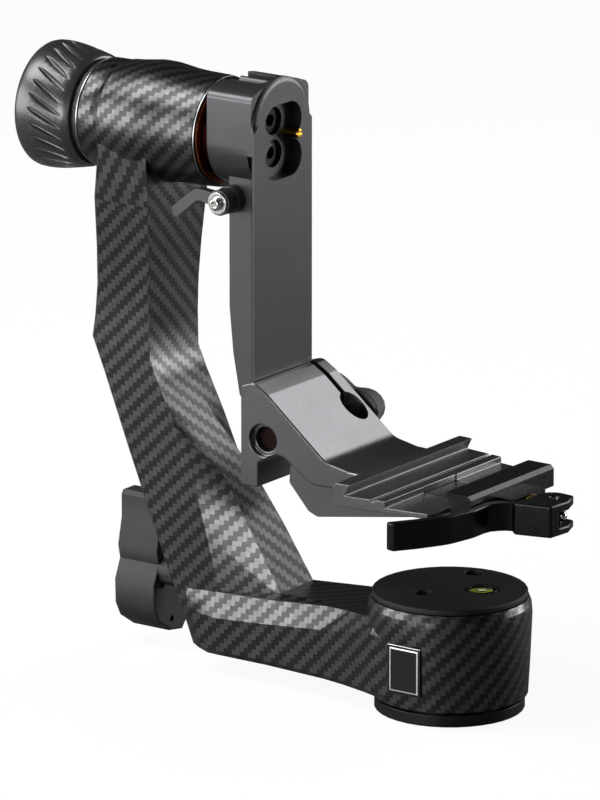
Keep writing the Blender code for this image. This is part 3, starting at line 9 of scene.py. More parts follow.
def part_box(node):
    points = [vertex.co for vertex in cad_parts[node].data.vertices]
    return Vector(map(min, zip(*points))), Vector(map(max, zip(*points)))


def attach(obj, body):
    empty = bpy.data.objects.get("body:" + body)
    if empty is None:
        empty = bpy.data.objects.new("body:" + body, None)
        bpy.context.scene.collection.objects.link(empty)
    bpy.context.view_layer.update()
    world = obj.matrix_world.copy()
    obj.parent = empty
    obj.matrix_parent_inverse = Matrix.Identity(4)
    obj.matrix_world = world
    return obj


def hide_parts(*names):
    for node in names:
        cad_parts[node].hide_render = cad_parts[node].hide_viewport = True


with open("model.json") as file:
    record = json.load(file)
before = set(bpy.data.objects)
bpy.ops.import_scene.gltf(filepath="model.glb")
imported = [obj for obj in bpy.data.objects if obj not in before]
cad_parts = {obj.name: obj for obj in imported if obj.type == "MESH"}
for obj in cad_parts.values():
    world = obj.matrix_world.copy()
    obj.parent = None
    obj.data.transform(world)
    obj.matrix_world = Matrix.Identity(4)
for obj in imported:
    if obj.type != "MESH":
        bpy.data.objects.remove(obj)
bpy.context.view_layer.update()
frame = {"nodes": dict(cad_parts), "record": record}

bl_info = {
    "name": "Gimbal Tripod Head",
    "version": (1, 0, 0),
    "blender": (4, 5, 0),
    "location": "View3D > Sidebar > Gimbal Head",
    "description": "Builds the finished pieces of a gimbal tripod head over its CAD frame",
    "category": "Object",
}

# Main places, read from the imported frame
TUBE_LOW, TUBE_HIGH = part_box("tilt_sleeve")
TILT_AXIS_Z = (TUBE_LOW.z + TUBE_HIGH.z) / 2
KNOB_LOW, KNOB_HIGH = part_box("tilt_knob")
LEVEL_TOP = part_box("level_ring")[1].z
PLATE_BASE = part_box("badge_plate")[0].z

# Where the lofted blade and beam give way to the round housing, in X
LOFT_END = -0.040
# Radii at which the cloth's length round the tube and the housing is measured
TUBE_SKIN, HOUSING_SKIN = 0.0225, 0.0310
# Points nearer than this count as one, and faces that meet flatter than this as one face
JOIN_DISTANCE, FLAT_ANGLE = 0.000002, math.radians(0.6)
# Edges sharper than this are rounded in so many steps
EDGE_ANGLE, EDGE_SEGMENTS = math.radians(30), 3


def metres(name, description, default, low, high):
    """A size in metres for the panel, and its limits."""
    return bpy.props.FloatProperty(
        name=name, description=description, default=default, min=low, max=high, unit="LENGTH", precision=5,
    )


def lamp_power(name, description, default):
    """A lamp's power for the panel."""
    return bpy.props.FloatProperty(
        name=name, description=description, default=default, min=0, max=400, unit="POWER",
    )


class CarbonSettings(bpy.types.PropertyGroup):
    """Sizes and colours of the woven arm."""
    tow_width: metres("Tow width", "Width of one flat bundle of fibres", 0.0019, 0.0005, 0.006)
    facet_angle: bpy.props.FloatProperty(
        name="Facet angle", description="Angle above which an edge between moulded facets stays crisp",
        default=math.radians(10.4), min=0, max=math.radians(90), unit="ROTATION",
    )
    facet_turn: bpy.props.FloatProperty(
        name="Facet turn", description="Largest angle that one facet turns through between two stations",
        default=math.radians(50), min=0, max=math.radians(90), unit="ROTATION",
    )
    tube_wrap_radius: metres(
        "Tube wrap radius", "Radius within which the weave wraps round the tube", 0.0262, 0.02, 0.04,
    )
    housing_wrap_radius: metres(
        "Housing wrap radius", "Radius within which the weave wraps round the housing", 0.0330, 0.02, 0.05,
    )
    # The dark tow colour is painted shade and the light tow colour is painted light: both sets of tows are
    # the same cloth, lit differently
    dark: bpy.props.StringProperty(
        name="Dark tow", description="sRGB hex colour of the tows seen end-on", default="#29292a",
    )
    light: bpy.props.StringProperty(
        name="Light tow", description="sRGB hex colour of the tows that catch the light", default="#4a4a4b",
    )


class KnobSettings(bpy.types.PropertyGroup):
    """Sizes of the grooved tilt knob."""
    grooves: bpy.props.IntProperty(
        name="Grooves", description="Number of finger grooves round the knob", default=28, min=8, max=48,
    )
    groove_length: metres("Groove length", "Length of one lens-shaped groove", 0.0205, 0.004, 0.03)
    groove_width: metres("Groove width", "Widest part of one groove", 0.0024, 0.001, 0.006)
    groove_depth: metres("Groove depth", "Depth of one groove at its middle", 0.0010, 0.0002, 0.003)
    slant: bpy.props.FloatProperty(
        name="Slant", description="Turn of each groove away from the knob's axis",
        default=math.radians(27), min=0, max=math.radians(60), unit="ROTATION",
    )
    groove_tilt: bpy.props.FloatProperty(
        name="Tilt", description="Fall of each groove towards the narrow end",
        default=math.radians(8), min=0, max=math.radians(30), unit="ROTATION",
    )
    around: bpy.props.IntProperty(
        name="Points around", description="Points of the knob's round outline", default=112, min=32, max=256,
    )


class FittingSettings(bpy.types.PropertyGroup):
    """Sizes of the fittings on the housing."""
    cap_hole: metres("Cap hole", "Radius of the two blind holes in the cap", 0.0036, 0.001, 0.008)
    cap_hole_depth: metres(
        "Cap hole depth", "Depth of the two blind holes in the cap", 0.0016, 0.0005, 0.002,
    )
    bubble: metres("Bubble", "Radius of the air bubble in the level", 0.0017, 0.0005, 0.003)
    circle: metres("Circle", "Radius of the circle printed on the level", 0.0024, 0.001, 0.004)
    plate_margin: metres(
        "Plate margin", "Gap between the plate's edge and its bright border", 0.0009, 0.0003, 0.003,
    )
    plate_border: metres("Plate border", "Width of the plate's bright border", 0.0005, 0.0002, 0.002)


class MetalSettings(bpy.types.PropertyGroup):
    """Edge sizes and colours of the metal pieces."""
    fine_edge: metres("Fine edge", "Rounding of small machined edges", 0.00015, 0, 0.001)
    machined_edge: metres("Machined edge", "Rounding of larger machined edges", 0.0006, 0, 0.002)
    forged_edge: metres("Forged edge", "Rounding of forged and cast edges", 0.0012, 0, 0.004)
    forging: bpy.props.StringProperty(
        name="Forging colour", description="sRGB hex colour of the forged parts", default="#454547",
    )
    anodised: bpy.props.StringProperty(
        name="Anodised colour", description="sRGB hex colour of the black anodised parts", default="#121213",
    )
    copper: bpy.props.StringProperty(
        name="Copper colour", description="sRGB hex colour of the friction sleeve", default="#b5623c",
    )
    red: bpy.props.StringProperty(
        name="Red colour", description="sRGB hex colour of the red anodised spindle", default="#38100e",
    )


class StageSettings(bpy.types.PropertyGroup):
    """Camera and light."""
    azimuth: bpy.props.FloatProperty(
        name="Azimuth", description="Camera's turn about the head",
        default=math.radians(35.5), unit="ROTATION",
    )
    elevation: bpy.props.FloatProperty(
        name="Elevation", description="Camera's height above the horizon",
        default=math.radians(15.3), unit="ROTATION",
    )
    lens: bpy.props.FloatProperty(
        name="Lens", description="Focal length in millimetres", default=400, min=50, max=1200,
    )
    frame_height: bpy.props.FloatProperty(
        name="Frame height", description="Height that the frame shows at the object",
        default=0.3077, min=0.1, max=2, unit="LENGTH",
    )
    target: bpy.props.FloatVectorProperty(
        name="Target", description="Point in the middle of the frame",
        default=(-0.0704, 0.0, 0.1103), size=3, subtype="XYZ", unit="LENGTH",
    )
    key_power: lamp_power("Key lamp", "Power of the lamp above on the left", 13)
    back_power: lamp_power("Back lamp", "Power of the lamp high behind", 9.5)
    side_power: lamp_power("Side lamp", "Power of the large lamp on the left", 33)
    facet_power: lamp_power("Facet lamp", "Power of the lamp in front, low", 20)
    rim_power: lamp_power("Rim lamp", "Power of the lamp low on the right, behind", 22)
    front_power: lamp_power("Front lamp", "Power of the lamp behind the camera", 9)


def linear(hex_colour):
    """Linear RGBA of an sRGB hex colour."""
    shares = [int(hex_colour[start:start + 2], 16) / 255 for start in (1, 3, 5)]
    return tuple(s / 12.92 if s <= 0.04045 else ((s + 0.055) / 1.055) ** 2.4 for s in shares) + (1.0,)


def set_inputs(tree, node, inputs):
    """Gives each input a value, or a link where the value is a socket."""
    for name, value in inputs.items():
        if isinstance(value, bpy.types.NodeSocket):
            tree.links.new(value, node.inputs[name])
        else:
            node.inputs[name].default_value = value


def add_node(tree, kind, settings=None, inputs=None):
    """Adds one node with its settings, values and links."""
    made = tree.nodes.new(kind)
    for name, value in (settings or {}).items():
        setattr(made, name, value)
    set_inputs(tree, made, inputs or {})
    return made


def calculate(tree, operation, *values):
    """The result of a Math node."""
    return add_node(tree, "ShaderNodeMath", {"operation": operation}, dict(enumerate(values))).outputs[0]


def remap(tree, value, start, end, low, high):
    """A value moved from the range start to end into the range low to high."""
    return add_node(tree, "ShaderNodeMapRange", None, {
        "Value": value, "From Min": start, "From Max": end, "To Min": low, "To Max": high,
    }).outputs["Result"]


def blend(tree, share, first, second):
    """A colour between two others."""
    return add_node(tree, "ShaderNodeMix", {"data_type": "RGBA"}, {0: share, 6: first, 7: second}).outputs[2]


def noise(tree, place, scale, detail=2.0, roughness=0.5):
    """Noise with so many specks to the metre."""
    return add_node(tree, "ShaderNodeTexNoise", None, {
        "Vector": place, "Scale": scale, "Detail": detail, "Roughness": roughness,
    }).outputs["Fac"]


def bumped(tree, height, distance, strength):
    """The normals of a surface with this height."""
    return add_node(tree, "ShaderNodeBump", None, {
        "Height": height, "Distance": distance, "Strength": strength,
    }).outputs["Normal"]


def new_material(name):
    """An empty material with its shader and a Texture Coordinate node."""
    material = bpy.data.materials.new(name)
    material.use_nodes = True
    tree = material.node_tree
    return material, tree, tree.nodes["Principled BSDF"], add_node(tree, "ShaderNodeTexCoord")


def grained(name, colour, metallic, roughness, grain, depth, spread=0.08, shade=0.12, stretch=(1, 1, 1)):
    """A metal or plastic with a fine grain in its height, its gloss and slightly in its colour.

    Grain is the size of one speck in metres, and depth its height. Stretch draws the grain out.
    """
    material, tree, shader, place = new_material(name)
    cloud_size = grain * 30
    turned = add_node(tree, "ShaderNodeMapping", None, {"Vector": place.outputs["Object"], "Scale": stretch})
    speck = noise(tree, turned.outputs["Vector"], 1 / grain, 3.0, 0.6)
    cloud = noise(tree, place.outputs["Object"], 1 / cloud_size)
    base = linear(colour)
    dark, light = (tuple(part * factor for part in base[:3]) + (1.0,) for factor in (1 - shade, 1 + shade))
    set_inputs(tree, shader, {
        "Metallic": metallic, "Base Color": blend(tree, cloud, dark, light),
        "Roughness": remap(tree, speck, 0.3, 0.7, roughness - spread, roughness + spread),
        "Normal": bumped(tree, speck, depth, 0.6),
    })
    return material


def turned_metal(name, colour, roughness, centre, axis, depth=0.000006, metallic=1.0):
    """A lathe-turned metal: fine rings round an axis through the centre, which stretch its highlights."""
    material, tree, shader, place = new_material(name)
    # Lathe rings are 0.05 to 0.1 mm wide, drawn here at 0.2 mm so that they show
    ring_width, glossier, duller = 0.0002, 0.06, 0.08
    centred = add_node(tree, "ShaderNodeMapping", {"vector_type": "POINT"}, {
        "Vector": place.outputs["Object"], "Location": tuple(-part for part in centre),
    })
    split = add_node(tree, "ShaderNodeSeparateXYZ", None, {"Vector": centred.outputs["Vector"]})
    across, up = (letter for letter in "XYZ" if letter != axis)
    flat = add_node(tree, "ShaderNodeCombineXYZ", None, {"X": split.outputs[across], "Y": split.outputs[up]})
    radius = add_node(tree, "ShaderNodeVectorMath", {"operation": "LENGTH"}, {0: flat.outputs["Vector"]})
    rings = add_node(tree, "ShaderNodeCombineXYZ", None, {
        "X": radius.outputs["Value"], "Y": split.outputs[axis],
    })
    line = noise(tree, rings.outputs["Vector"], 1 / ring_width)
    set_inputs(tree, shader, {
        "Metallic": metallic, "Base Color": linear(colour),
        "Roughness": remap(tree, line, 0.3, 0.7, roughness - glossier, roughness + duller),
        "Normal": bumped(tree, line, depth, 0.7),
    })
    return material


def woven_carbon(settings):
    """Carbon twill under satin lacquer, as a pre-preg moulding has it.

    Two sets of flat tows cross, each over two and under two, so that diagonal bands show.
    The tows that lie across the light are painted dark and the others grey: painted shade and painted light
    on one cloth. The lacquer evens the gloss.
    """
    material, tree, shader, _ = new_material("woven_carbon_twill")
    weave = add_node(tree, "ShaderNodeUVMap", {"uv_map": "weave"})
    cells = add_node(tree, "ShaderNodeVectorMath", {"operation": "SCALE"}, {
        0: weave.outputs["UV"], "Scale": 1 / settings.tow_width,
    }).outputs["Vector"]
    whole = add_node(tree, "ShaderNodeVectorMath", {"operation": "FLOOR"}, {0: cells}).outputs["Vector"]
    part = add_node(tree, "ShaderNodeVectorMath", {"operation": "FRACTION"}, {0: cells}).outputs["Vector"]
    column = add_node(tree, "ShaderNodeSeparateXYZ", None, {"Vector": whole})
    inside = add_node(tree, "ShaderNodeSeparateXYZ", None, {"Vector": part})
    step = calculate(tree, "SUBTRACT", column.outputs["X"], column.outputs["Y"])
    upright = calculate(tree, "LESS_THAN", calculate(tree, "FLOORED_MODULO", step, 4.0), 1.5)

    # Across a tow the height is a low arch, which leaves a fine dark valley between tows
    across = add_node(tree, "ShaderNodeMix", {"data_type": "FLOAT"}, {
        0: upright, 2: inside.outputs["Y"], 3: inside.outputs["X"],
    })
    from_middle = calculate(tree, "ABSOLUTE", calculate(tree, "SUBTRACT", across.outputs[0], 0.5))
    arch = calculate(tree, "MULTIPLY_ADD", calculate(tree, "POWER", from_middle, 2.0), -4.0, 1.0)

    # Fibre streaks run along each tow
    long_way, short_way = (
        add_node(tree, "ShaderNodeMapping", None, {"Vector": cells, "Scale": scale}).outputs["Vector"]
        for scale in ((9.0, 0.7, 1.0), (0.7, 9.0, 1.0))
    )
    streak_place = add_node(tree, "ShaderNodeMix", {"data_type": "VECTOR"}, {
        0: upright, 4: short_way, 5: long_way,
    })
    streak = noise(tree, streak_place.outputs[1], 1.0)
    tow = add_node(tree, "ShaderNodeTexWhiteNoise", {"noise_dimensions": "2D"}, {"Vector": whole})
    # Painted light and shade: each direction of tows gets its own fixed colour for how the lamps light it
    painted_tow_light_and_shade = blend(tree, upright, linear(settings.dark), linear(settings.light))

    # The colour changes a little along the streaks, in the valleys and from tow to tow
    brightness = remap(tree, streak, 0.25, 0.75, 0.84, 1.16)
    valley = remap(tree, arch, 0.0, 0.22, 0.62, 1.0)
    change = remap(tree, tow.outputs["Value"], 0.0, 1.0, 0.86, 1.12)
    factor = calculate(tree, "MULTIPLY", calculate(tree, "MULTIPLY", brightness, valley), change)
    colour = add_node(tree, "ShaderNodeVectorMath", {"operation": "SCALE"}, {0: painted_tow_light_and_shade, "Scale": factor})
    set_inputs(tree, shader, {
        "Metallic": 0.9, "Coat Weight": 0.12, "Coat Roughness": 0.25,
        "Base Color": colour.outputs["Vector"], "Normal": bumped(tree, arch, 0.00003, 0.4),
        "Roughness": remap(tree, streak, 0.3, 0.7, 0.30, 0.40),
    })
    return material


def select_only(*items):
    """Leaves just these objects selected, the first one active."""
    bpy.ops.object.select_all(action="DESELECT")
    for item in items:
        item.select_set(True)
    bpy.context.view_layer.objects.active = items[0]


def body_of_node(node):
    """The moving body that holds a CAD node."""
    for body, members in frame["record"]["behaviour"]["bodies"].items():
        if node in members:
            return body
    raise RuntimeError(f"no body holds the node {node}")


def middle_of(node):
    """The middle of a CAD node's box."""
    low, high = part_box(node)
    return (low + high) / 2


def settled(name):
    """Names the primitive just added and puts its place and turn into its mesh."""
    made = bpy.context.object
    made.name = name
    bpy.ops.object.transform_apply(location=True, rotation=True, scale=True)
    return made


def merged_copy(node, name):
    """A copy of a CAD node as one merged mesh with flat faces joined."""
    data = frame["nodes"][node].data.copy()
    data.materials.clear()
    piece = bpy.data.objects.new(name, data)
    bpy.context.scene.collection.objects.link(piece)
    select_only(piece)
    bpy.ops.object.mode_set(mode="EDIT")
    bpy.ops.mesh.select_mode(type="VERT")
    bpy.ops.mesh.select_all(action="SELECT")
    bpy.ops.mesh.customdata_custom_splitnormals_clear()
    bpy.ops.mesh.remove_doubles(threshold=JOIN_DISTANCE)
    bpy.ops.mesh.dissolve_limited(angle_limit=FLAT_ANGLE)
    bpy.ops.object.mode_set(mode="OBJECT")
    return piece


def apply_modifier(piece, kind, **settings):
    """Adds a modifier with its settings and applies it."""
    select_only(piece)
    change = piece.modifiers.new(kind.lower(), kind)
    for name, value in settings.items():
        setattr(change, name, value)
    bpy.ops.object.modifier_apply(modifier=change.name)


def hand_over(piece, node, material):
    """Gives a finished piece its material and its body, and hides the CAD node that it stands for."""
    piece.data.materials.append(material)
    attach(piece, body_of_node(node))
    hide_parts(node)
    return piece


def round_off(piece, edge, smooth_angle=40, clamp=True):
    """Rounds the sharp edges and keeps the flat faces flat in their shading."""
    if edge > 0:
        apply_modifier(
            piece, "BEVEL", width=edge, segments=EDGE_SEGMENTS, limit_method="ANGLE",
            angle_limit=EDGE_ANGLE, use_clamp_overlap=clamp, miter_outer="MITER_ARC",
        )
    select_only(piece)
    bpy.ops.object.shade_smooth_by_angle(angle=math.radians(smooth_angle))
    apply_modifier(piece, "WEIGHTED_NORMAL", mode="FACE_AREA", weight=50, keep_sharp=True)


def softened(node, edge, material, smooth_angle=40, clamp=True):
    """A merged copy of a CAD node whose sharp edges are rounded, as a tool or tumbling leaves them."""
    piece = merged_copy(node, f"{node}_finished")
    round_off(piece, edge, smooth_angle, clamp)
    return hand_over(piece, node, material)


def weave_map(piece, settings):
    """A UV map in metres: the cloth wraps the tube and the housing and lies flat elsewhere."""
    data = piece.data
    uv = data.uv_layers.new(name="weave")
    middle = Vector((0, 0, TILT_AXIS_Z))
    tube_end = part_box("seal_ring")[0].x
    # Beyond this X the beam meets the housing, and the cloth lies flat
    beam_share = 0.94
    beam_start = -settings.housing_wrap_radius * beam_share
    # How far a face may lean along X, point outwards or lean along Z and still be wrapped
    tube_lean, tube_outward, housing_lean = 0.6, 0.5, 0.7
    # How far a face turns from Y before its cloth is laid along another axis
    side_share = 0.8
    for face in data.polygons:
        centre = face.center
        normal = face.normal
        radial = Vector((0, centre.y, centre.z)) - middle
        on_tube = radial.length < settings.tube_wrap_radius and abs(normal.x) < tube_lean
        on_tube = on_tube and normal.dot(radial.normalized()) > tube_outward
        on_housing = Vector((centre.x, centre.y)).length < settings.housing_wrap_radius
        on_housing = on_housing and abs(normal.z) < housing_lean and centre.x > beam_start
        for corner in face.loop_indices:
            point = data.vertices[data.loops[corner].vertex_index].co
            if on_tube:
                around = math.atan2(point.z - TILT_AXIS_Z, -point.y)
                if centre.y > 0 and around < -math.pi / 2:
                    around += math.tau
                uv.data[corner].uv = (point.x - tube_end, around * TUBE_SKIN)
            elif on_housing:
                around = math.atan2(point.x, -point.y)
                if centre.x < 0 < centre.y and around > 0:
                    around -= math.tau
                if centre.x > 0 and around < -math.pi / 2:
                    around += math.tau
                uv.data[corner].uv = (around * HOUSING_SKIN, point.z)
            elif abs(normal.y) >= max(abs(normal.x), abs(normal.z)) * side_share:
                uv.data[corner].uv = (point.x, point.z)
            elif abs(normal.x) >= abs(normal.z):
                uv.data[corner].uv = (-point.y, point.z)
            else:
                uv.data[corner].uv = (point.x, point.y)


def crease_facets(piece, settings):
    """Keeps the lines between moulded facets crisp and lets each facet of blade and beam run on smoothly."""
    select_only(piece)
    bpy.ops.object.shade_smooth_by_angle(angle=settings.facet_angle)
    data = piece.data
    # Facets are told apart by how far they face along Y
    level_shares = (0.1, 0.6, 0.985)
    sides = {}
    for face in data.polygons:
        for key in face.edge_keys:
            sides.setdefault(key, []).append(face.normal)
    for edge in data.edges:
        ends = [data.vertices[index].co for index in edge.vertices]
        moulded = all(end.x < LOFT_END and end.z < TUBE_LOW.z for end in ends)
        first, second = sides[edge.key]
        levels = [sum(abs(normal.y) > share for share in level_shares) for normal in (first, second)]
        if moulded and levels[0] == levels[1] and first.angle(second) < settings.facet_turn:
            edge.use_edge_sharp = False
    apply_modifier(piece, "WEIGHTED_NORMAL", mode="FACE_AREA_WITH_ANGLE", weight=50, keep_sharp=True)


class GIMBAL_OT_carbon_arm(bpy.types.Operator):
    """Moulds the one-piece woven arm over its CAD shape"""
    bl_idname = "gimbal.carbon_arm"
    bl_label = "Carbon Arm"

    # Height on the blade and how far its outer face goes out there, in metres
    outer_pull = ((0.045, 0.0006), (0.075, 0.0013), (0.125, 0.0033), (0.170, 0.0028), (0.215, 0.0024))
    # Two points in X and Z on a line between the blade's outer and inner faces
    line_elbow, line_foot = (-0.145, 0.120), (-0.115, 0.045)
    # Half the room in Y that holds the blade, and how far the blade goes up into the tube
    blade_room, tube_overlap = 0.03, 0.001

    def execute(self, context):
        settings = context.scene.gimbal_carbon
        piece = merged_copy("carbon_arm", "carbon_arm_moulded")
        self.deepen_blade(piece)
        crease_facets(piece, settings)
        weave_map(piece, settings)
        hand_over(piece, "carbon_arm", woven_carbon(settings))
        return {"FINISHED"}

    def deepen_blade(self, piece):
        """Pulls the blade's outer face out to the outline that shows, station by station."""
        blade_foot, blade_top = self.outer_pull[0][0], TUBE_LOW.z + self.tube_overlap
        for vertex in piece.data.vertices:
            point = vertex.co
            if not blade_foot < point.z < blade_top or abs(point.y) > self.blade_room:
                continue
            for (low, low_pull), (high, high_pull) in zip(self.outer_pull, self.outer_pull[1:]):
                if low <= point.z <= high:
                    share = (point.z - low) / (high - low)
                    if point.x < self.outer_line(point.z):
                        point.x -= low_pull + (high_pull - low_pull) * share

    def outer_line(self, height):
        """A line in X between the blade's outer and inner faces at a height."""
        elbow, foot = self.line_elbow, self.line_foot
        share = min(1, (height - foot[1]) / (elbow[1] - foot[1]))
        return foot[0] + (elbow[0] - foot[0]) * share


class GIMBAL_OT_foot(bpy.types.Operator):
    """Finishes the foot disc, bush, spindle and bearings"""
    bl_idname = "gimbal.foot"
    bl_label = "Foot"

    def execute(self, context):
        metal = context.scene.gimbal_metal
        # Hard black anodising over turned aluminium: near black, with the lathe's rings just showing
        black = turned_metal("black_anodised_turned", metal.anodised, 0.36, (0, 0, 0), "Z", metallic=0.6)
        # Turned steel: bright, with fine rings
        steel = turned_metal("turned_steel", "#a9a9ab", 0.28, (0, 0, 0), "Z")
        # Free-cutting brass, turned: warm yellow with soft rings
        brass = turned_metal("turned_brass_bush", "#b98f45", 0.30, (0, 0, 0), "Z")
        softened("base_disc", metal.machined_edge, black)
        softened("thread_bush", metal.fine_edge, brass)
        for node in ("pan_spindle", "pan_nut", "pan_bearing_lower", "pan_bearing_upper"):
            softened(node, metal.fine_edge, steel)
        return {"FINISHED"}


class GIMBAL_OT_housing_fittings(bpy.types.Operator):
    """Finishes the cap, bubble level, plain plate, liner and brake shoe"""
    bl_idname = "gimbal.housing_fittings"
    bl_label = "Housing Fittings"

    # Middles of the two holes as shares of the cap's radius, as the CAD cap has them
    hole_shares = ((-0.153, -0.363), (-0.147, 0.747))
    # Where the bubble has drifted to, and how far it and the printed circle sit below the level's rim
    bubble_drift, bubble_sink, circle_sink = (0.0006, -0.0004), 0.0004, 0.0003
    # The bubble's height as a share of its width, and half the thickness of the circle's line
    bubble_height_share, circle_line = 0.16, 0.00016
    # How far the plate's border stands out, and the area and place that tell its faces from the plate's own
    border_rise, border_area, border_reach, border_lift = 0.00008, 0.000012, 0.0068, 0.0008

    def execute(self, context):
        metal = context.scene.gimbal_metal
        sizes = context.scene.gimbal_fittings
        # Bead-blasted and black anodised cap: an even matte with a very fine speckle.
        # Beads leave dimples of 0.05 mm, drawn here at 0.3 mm so that they show.
        self.cap(metal, sizes, grained("black_anodised_blasted", "#080808", 0.4, 0.62, 0.0003, 0.00002))
        # Turned and anodised rim: the lathe's rings catch a thin line of light
        middle = middle_of("level_ring")
        rim = turned_metal("level_rim_anodised", "#1c1c1d", 0.35, (middle.x, middle.y, 0), "Z", metallic=0.9)
        softened("level_ring", metal.fine_edge, rim)
        # Bare turned aluminium: grey, with soft rings
        aluminium = turned_metal("turned_aluminium_liner", "#8f9092", 0.34, (0, 0, 0), "Z")
        softened("base_liner", metal.fine_edge, aluminium)
        # Sintered bronze shoe: dull and grainy
        bronze = grained("sintered_bronze", "#8a6a3d", 1.0, 0.5, 0.0004, 0.00003)
        softened("brake_shoe", metal.fine_edge, bronze)
        self.level(sizes)
        self.plate(sizes)
        return {"FINISHED"}

    def cap(self, metal, sizes, matte):
        """The cap with its two blind holes opened to the width that shows."""
        low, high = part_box("base_cap")
        radius = (high.x - low.x) / 2
        cap = merged_copy("base_cap", "base_cap_finished")
        for across, up in self.hole_shares:
            bpy.ops.object.select_all(action="DESELECT")
            bpy.ops.mesh.primitive_cylinder_add(
                vertices=40, radius=sizes.cap_hole, depth=sizes.cap_hole_depth * 2,
                location=(radius * across, radius * up, high.z),
            )
            cutter = settled("hole_cutter")
            apply_modifier(cap, "BOOLEAN", operation="DIFFERENCE", solver="EXACT", object=cutter)
            bpy.data.objects.remove(cutter)
        round_off(cap, metal.machined_edge)
        hand_over(cap, "base_cap", matte)

    def level(self, sizes):
        """The spirit, its air bubble and the printed circle."""
        # Coloured spirit behind an acrylic window: clear, glossy and yellow-green
        fluid, tree, shader, place = new_material("tinted_spirit_in_acrylic")
        glow = noise(tree, place.outputs["Object"], 220.0)
        set_inputs(tree, shader, {
            "Base Color": blend(tree, glow, linear("#9db51a"), linear("#d6e52e")),
            "Roughness": 0.08, "Coat Weight": 1.0, "Coat Roughness": 0.03,
        })
        softened("bubble_level", 0, fluid, smooth_angle=50)
        middle = middle_of("bubble_level")

        # The air bubble shows as a pale, very glossy lens under the window
        air, tree, shader, _ = new_material("air_bubble_in_spirit")
        set_inputs(tree, shader, {"Base Color": linear("#eef4c0"), "Roughness": 0.05, "Coat Weight": 1.0})
        across, along = self.bubble_drift
        bpy.ops.object.select_all(action="DESELECT")
        bpy.ops.mesh.primitive_uv_sphere_add(
            segments=32, ring_count=16, radius=sizes.bubble,
            location=(middle.x + across, middle.y + along, LEVEL_TOP - self.bubble_sink),
        )
        bpy.ops.object.mode_set(mode="EDIT")
        bpy.ops.transform.resize(value=(1.0, 1.0, self.bubble_height_share))
        bpy.ops.object.mode_set(mode="OBJECT")
        bubble = settled("level_air_bubble")
        bpy.ops.object.shade_smooth()
        bubble.data.materials.append(air)
        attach(bubble, "arm")

        # Printed black circle of the level, a generic mark for the bubble
        bpy.ops.object.select_all(action="DESELECT")
        bpy.ops.mesh.primitive_torus_add(
            major_radius=sizes.circle, minor_radius=self.circle_line, major_segments=40, minor_segments=8,
            location=(middle.x, middle.y, LEVEL_TOP - self.circle_sink),
        )
        mark = settled("level_mark_circle")
        bpy.ops.object.shade_smooth()
        mark.data.materials.append(grained("printed_black_ink", "#1a1d08", 0.0, 0.4, 0.0002, 0.000005))
        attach(mark, "arm")

    def plate(self, sizes):
        """The plain plate: smooth black sheet with a fine bright border, left bare inside."""
        # Rolled sheet, black anodised: smooth and semi-gloss
        black = grained("black_anodised_sheet", "#101011", 0.3, 0.30, 0.0004, 0.000006, spread=0.04)
        # Border etched through the black down to bright metal
        border = grained("bright_etched_border", "#c9c9c9", 0.7, 0.35, 0.0003, 0.000006)
        plate = merged_copy("badge_plate", "badge_plate_bordered")
        plate.data.materials.append(black)
        plate.data.materials.append(border)
        bpy.ops.object.mode_set(mode="EDIT")
        bpy.ops.mesh.select_mode(type="FACE")
        bpy.ops.mesh.select_all(action="DESELECT")
        bpy.ops.object.mode_set(mode="OBJECT")
        front = min(plate.data.polygons, key=lambda face: (round(face.normal.y, 2), -face.area))
        front.select = True
        bpy.ops.object.mode_set(mode="EDIT")
        bpy.ops.mesh.inset(thickness=sizes.plate_margin, depth=0)
        bpy.ops.mesh.inset(thickness=sizes.plate_border, depth=self.border_rise)
        bpy.ops.object.mode_set(mode="OBJECT")
        for face in plate.data.polygons:
            inner = abs(face.center.x) < self.border_reach and face.center.z > PLATE_BASE + self.border_lift
            narrow = face.normal.y < -0.5 and face.area < self.border_area
            face.material_index = 1 if inner and narrow else 0
        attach(plate, "arm")
        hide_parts("badge_plate")


class GIMBAL_OT_tilt_parts(bpy.types.Operator):
    """Finishes the sleeve, lips, liner, spindle, bearings and friction parts"""
    bl_idname = "gimbal.tilt_parts"
    bl_label = "Tilt Axis Parts"

    def execute(self, context):
        metal = context.scene.gimbal_metal
        centre = (0, 0, TILT_AXIS_Z)
        # Copper-coloured bronze sleeve, turned: warm, with rings that stretch its highlights
        copper = turned_metal("turned_copper_sleeve", metal.copper, 0.26, centre, "X", depth=0.00001)
        # Bright turned aluminium lips, cut after anodising
        bright = turned_metal("turned_bright_lip", "#8c8c8e", 0.30, centre, "X")
        # Bare turned aluminium: grey, with soft rings
        aluminium = turned_metal("turned_aluminium_tilt", "#8f9092", 0.34, centre, "X")
        # Ground bearing steel: bright, with rings too fine to see one by one
        steel = turned_metal("ground_bearing_steel", "#a9a9ab", 0.24, centre, "X")
        # Dark red dyed anodising over turned aluminium
        red = turned_metal("red_anodised_turned", metal.red, 0.32, centre, "X", metallic=0.9)
        # Moulded nitrile seal: dull black with a slight grain
        seal = grained("moulded_nitrile", "#121212", 0.0, 0.62, 0.0005, 0.00002)
        # Pressed fibre: dull brown and rough, with flecks
        fibre = grained("pressed_friction_fibre", "#6b5a41", 0.0, 0.8, 0.0006, 0.00006)
        softened("tilt_sleeve", metal.machined_edge, copper)
        for node in ("tube_lip_left", "tube_lip_right"):
            softened(node, metal.fine_edge, bright)
        softened("tilt_liner", metal.fine_edge, aluminium)
        for node in ("tilt_bearing_left", "tilt_bearing_right"):
            softened(node, metal.fine_edge, steel)
        softened("tilt_spindle", metal.fine_edge, red)
        softened("seal_ring", metal.fine_edge, seal)
        softened("friction_disc", metal.fine_edge, fibre)
        return {"FINISHED"}


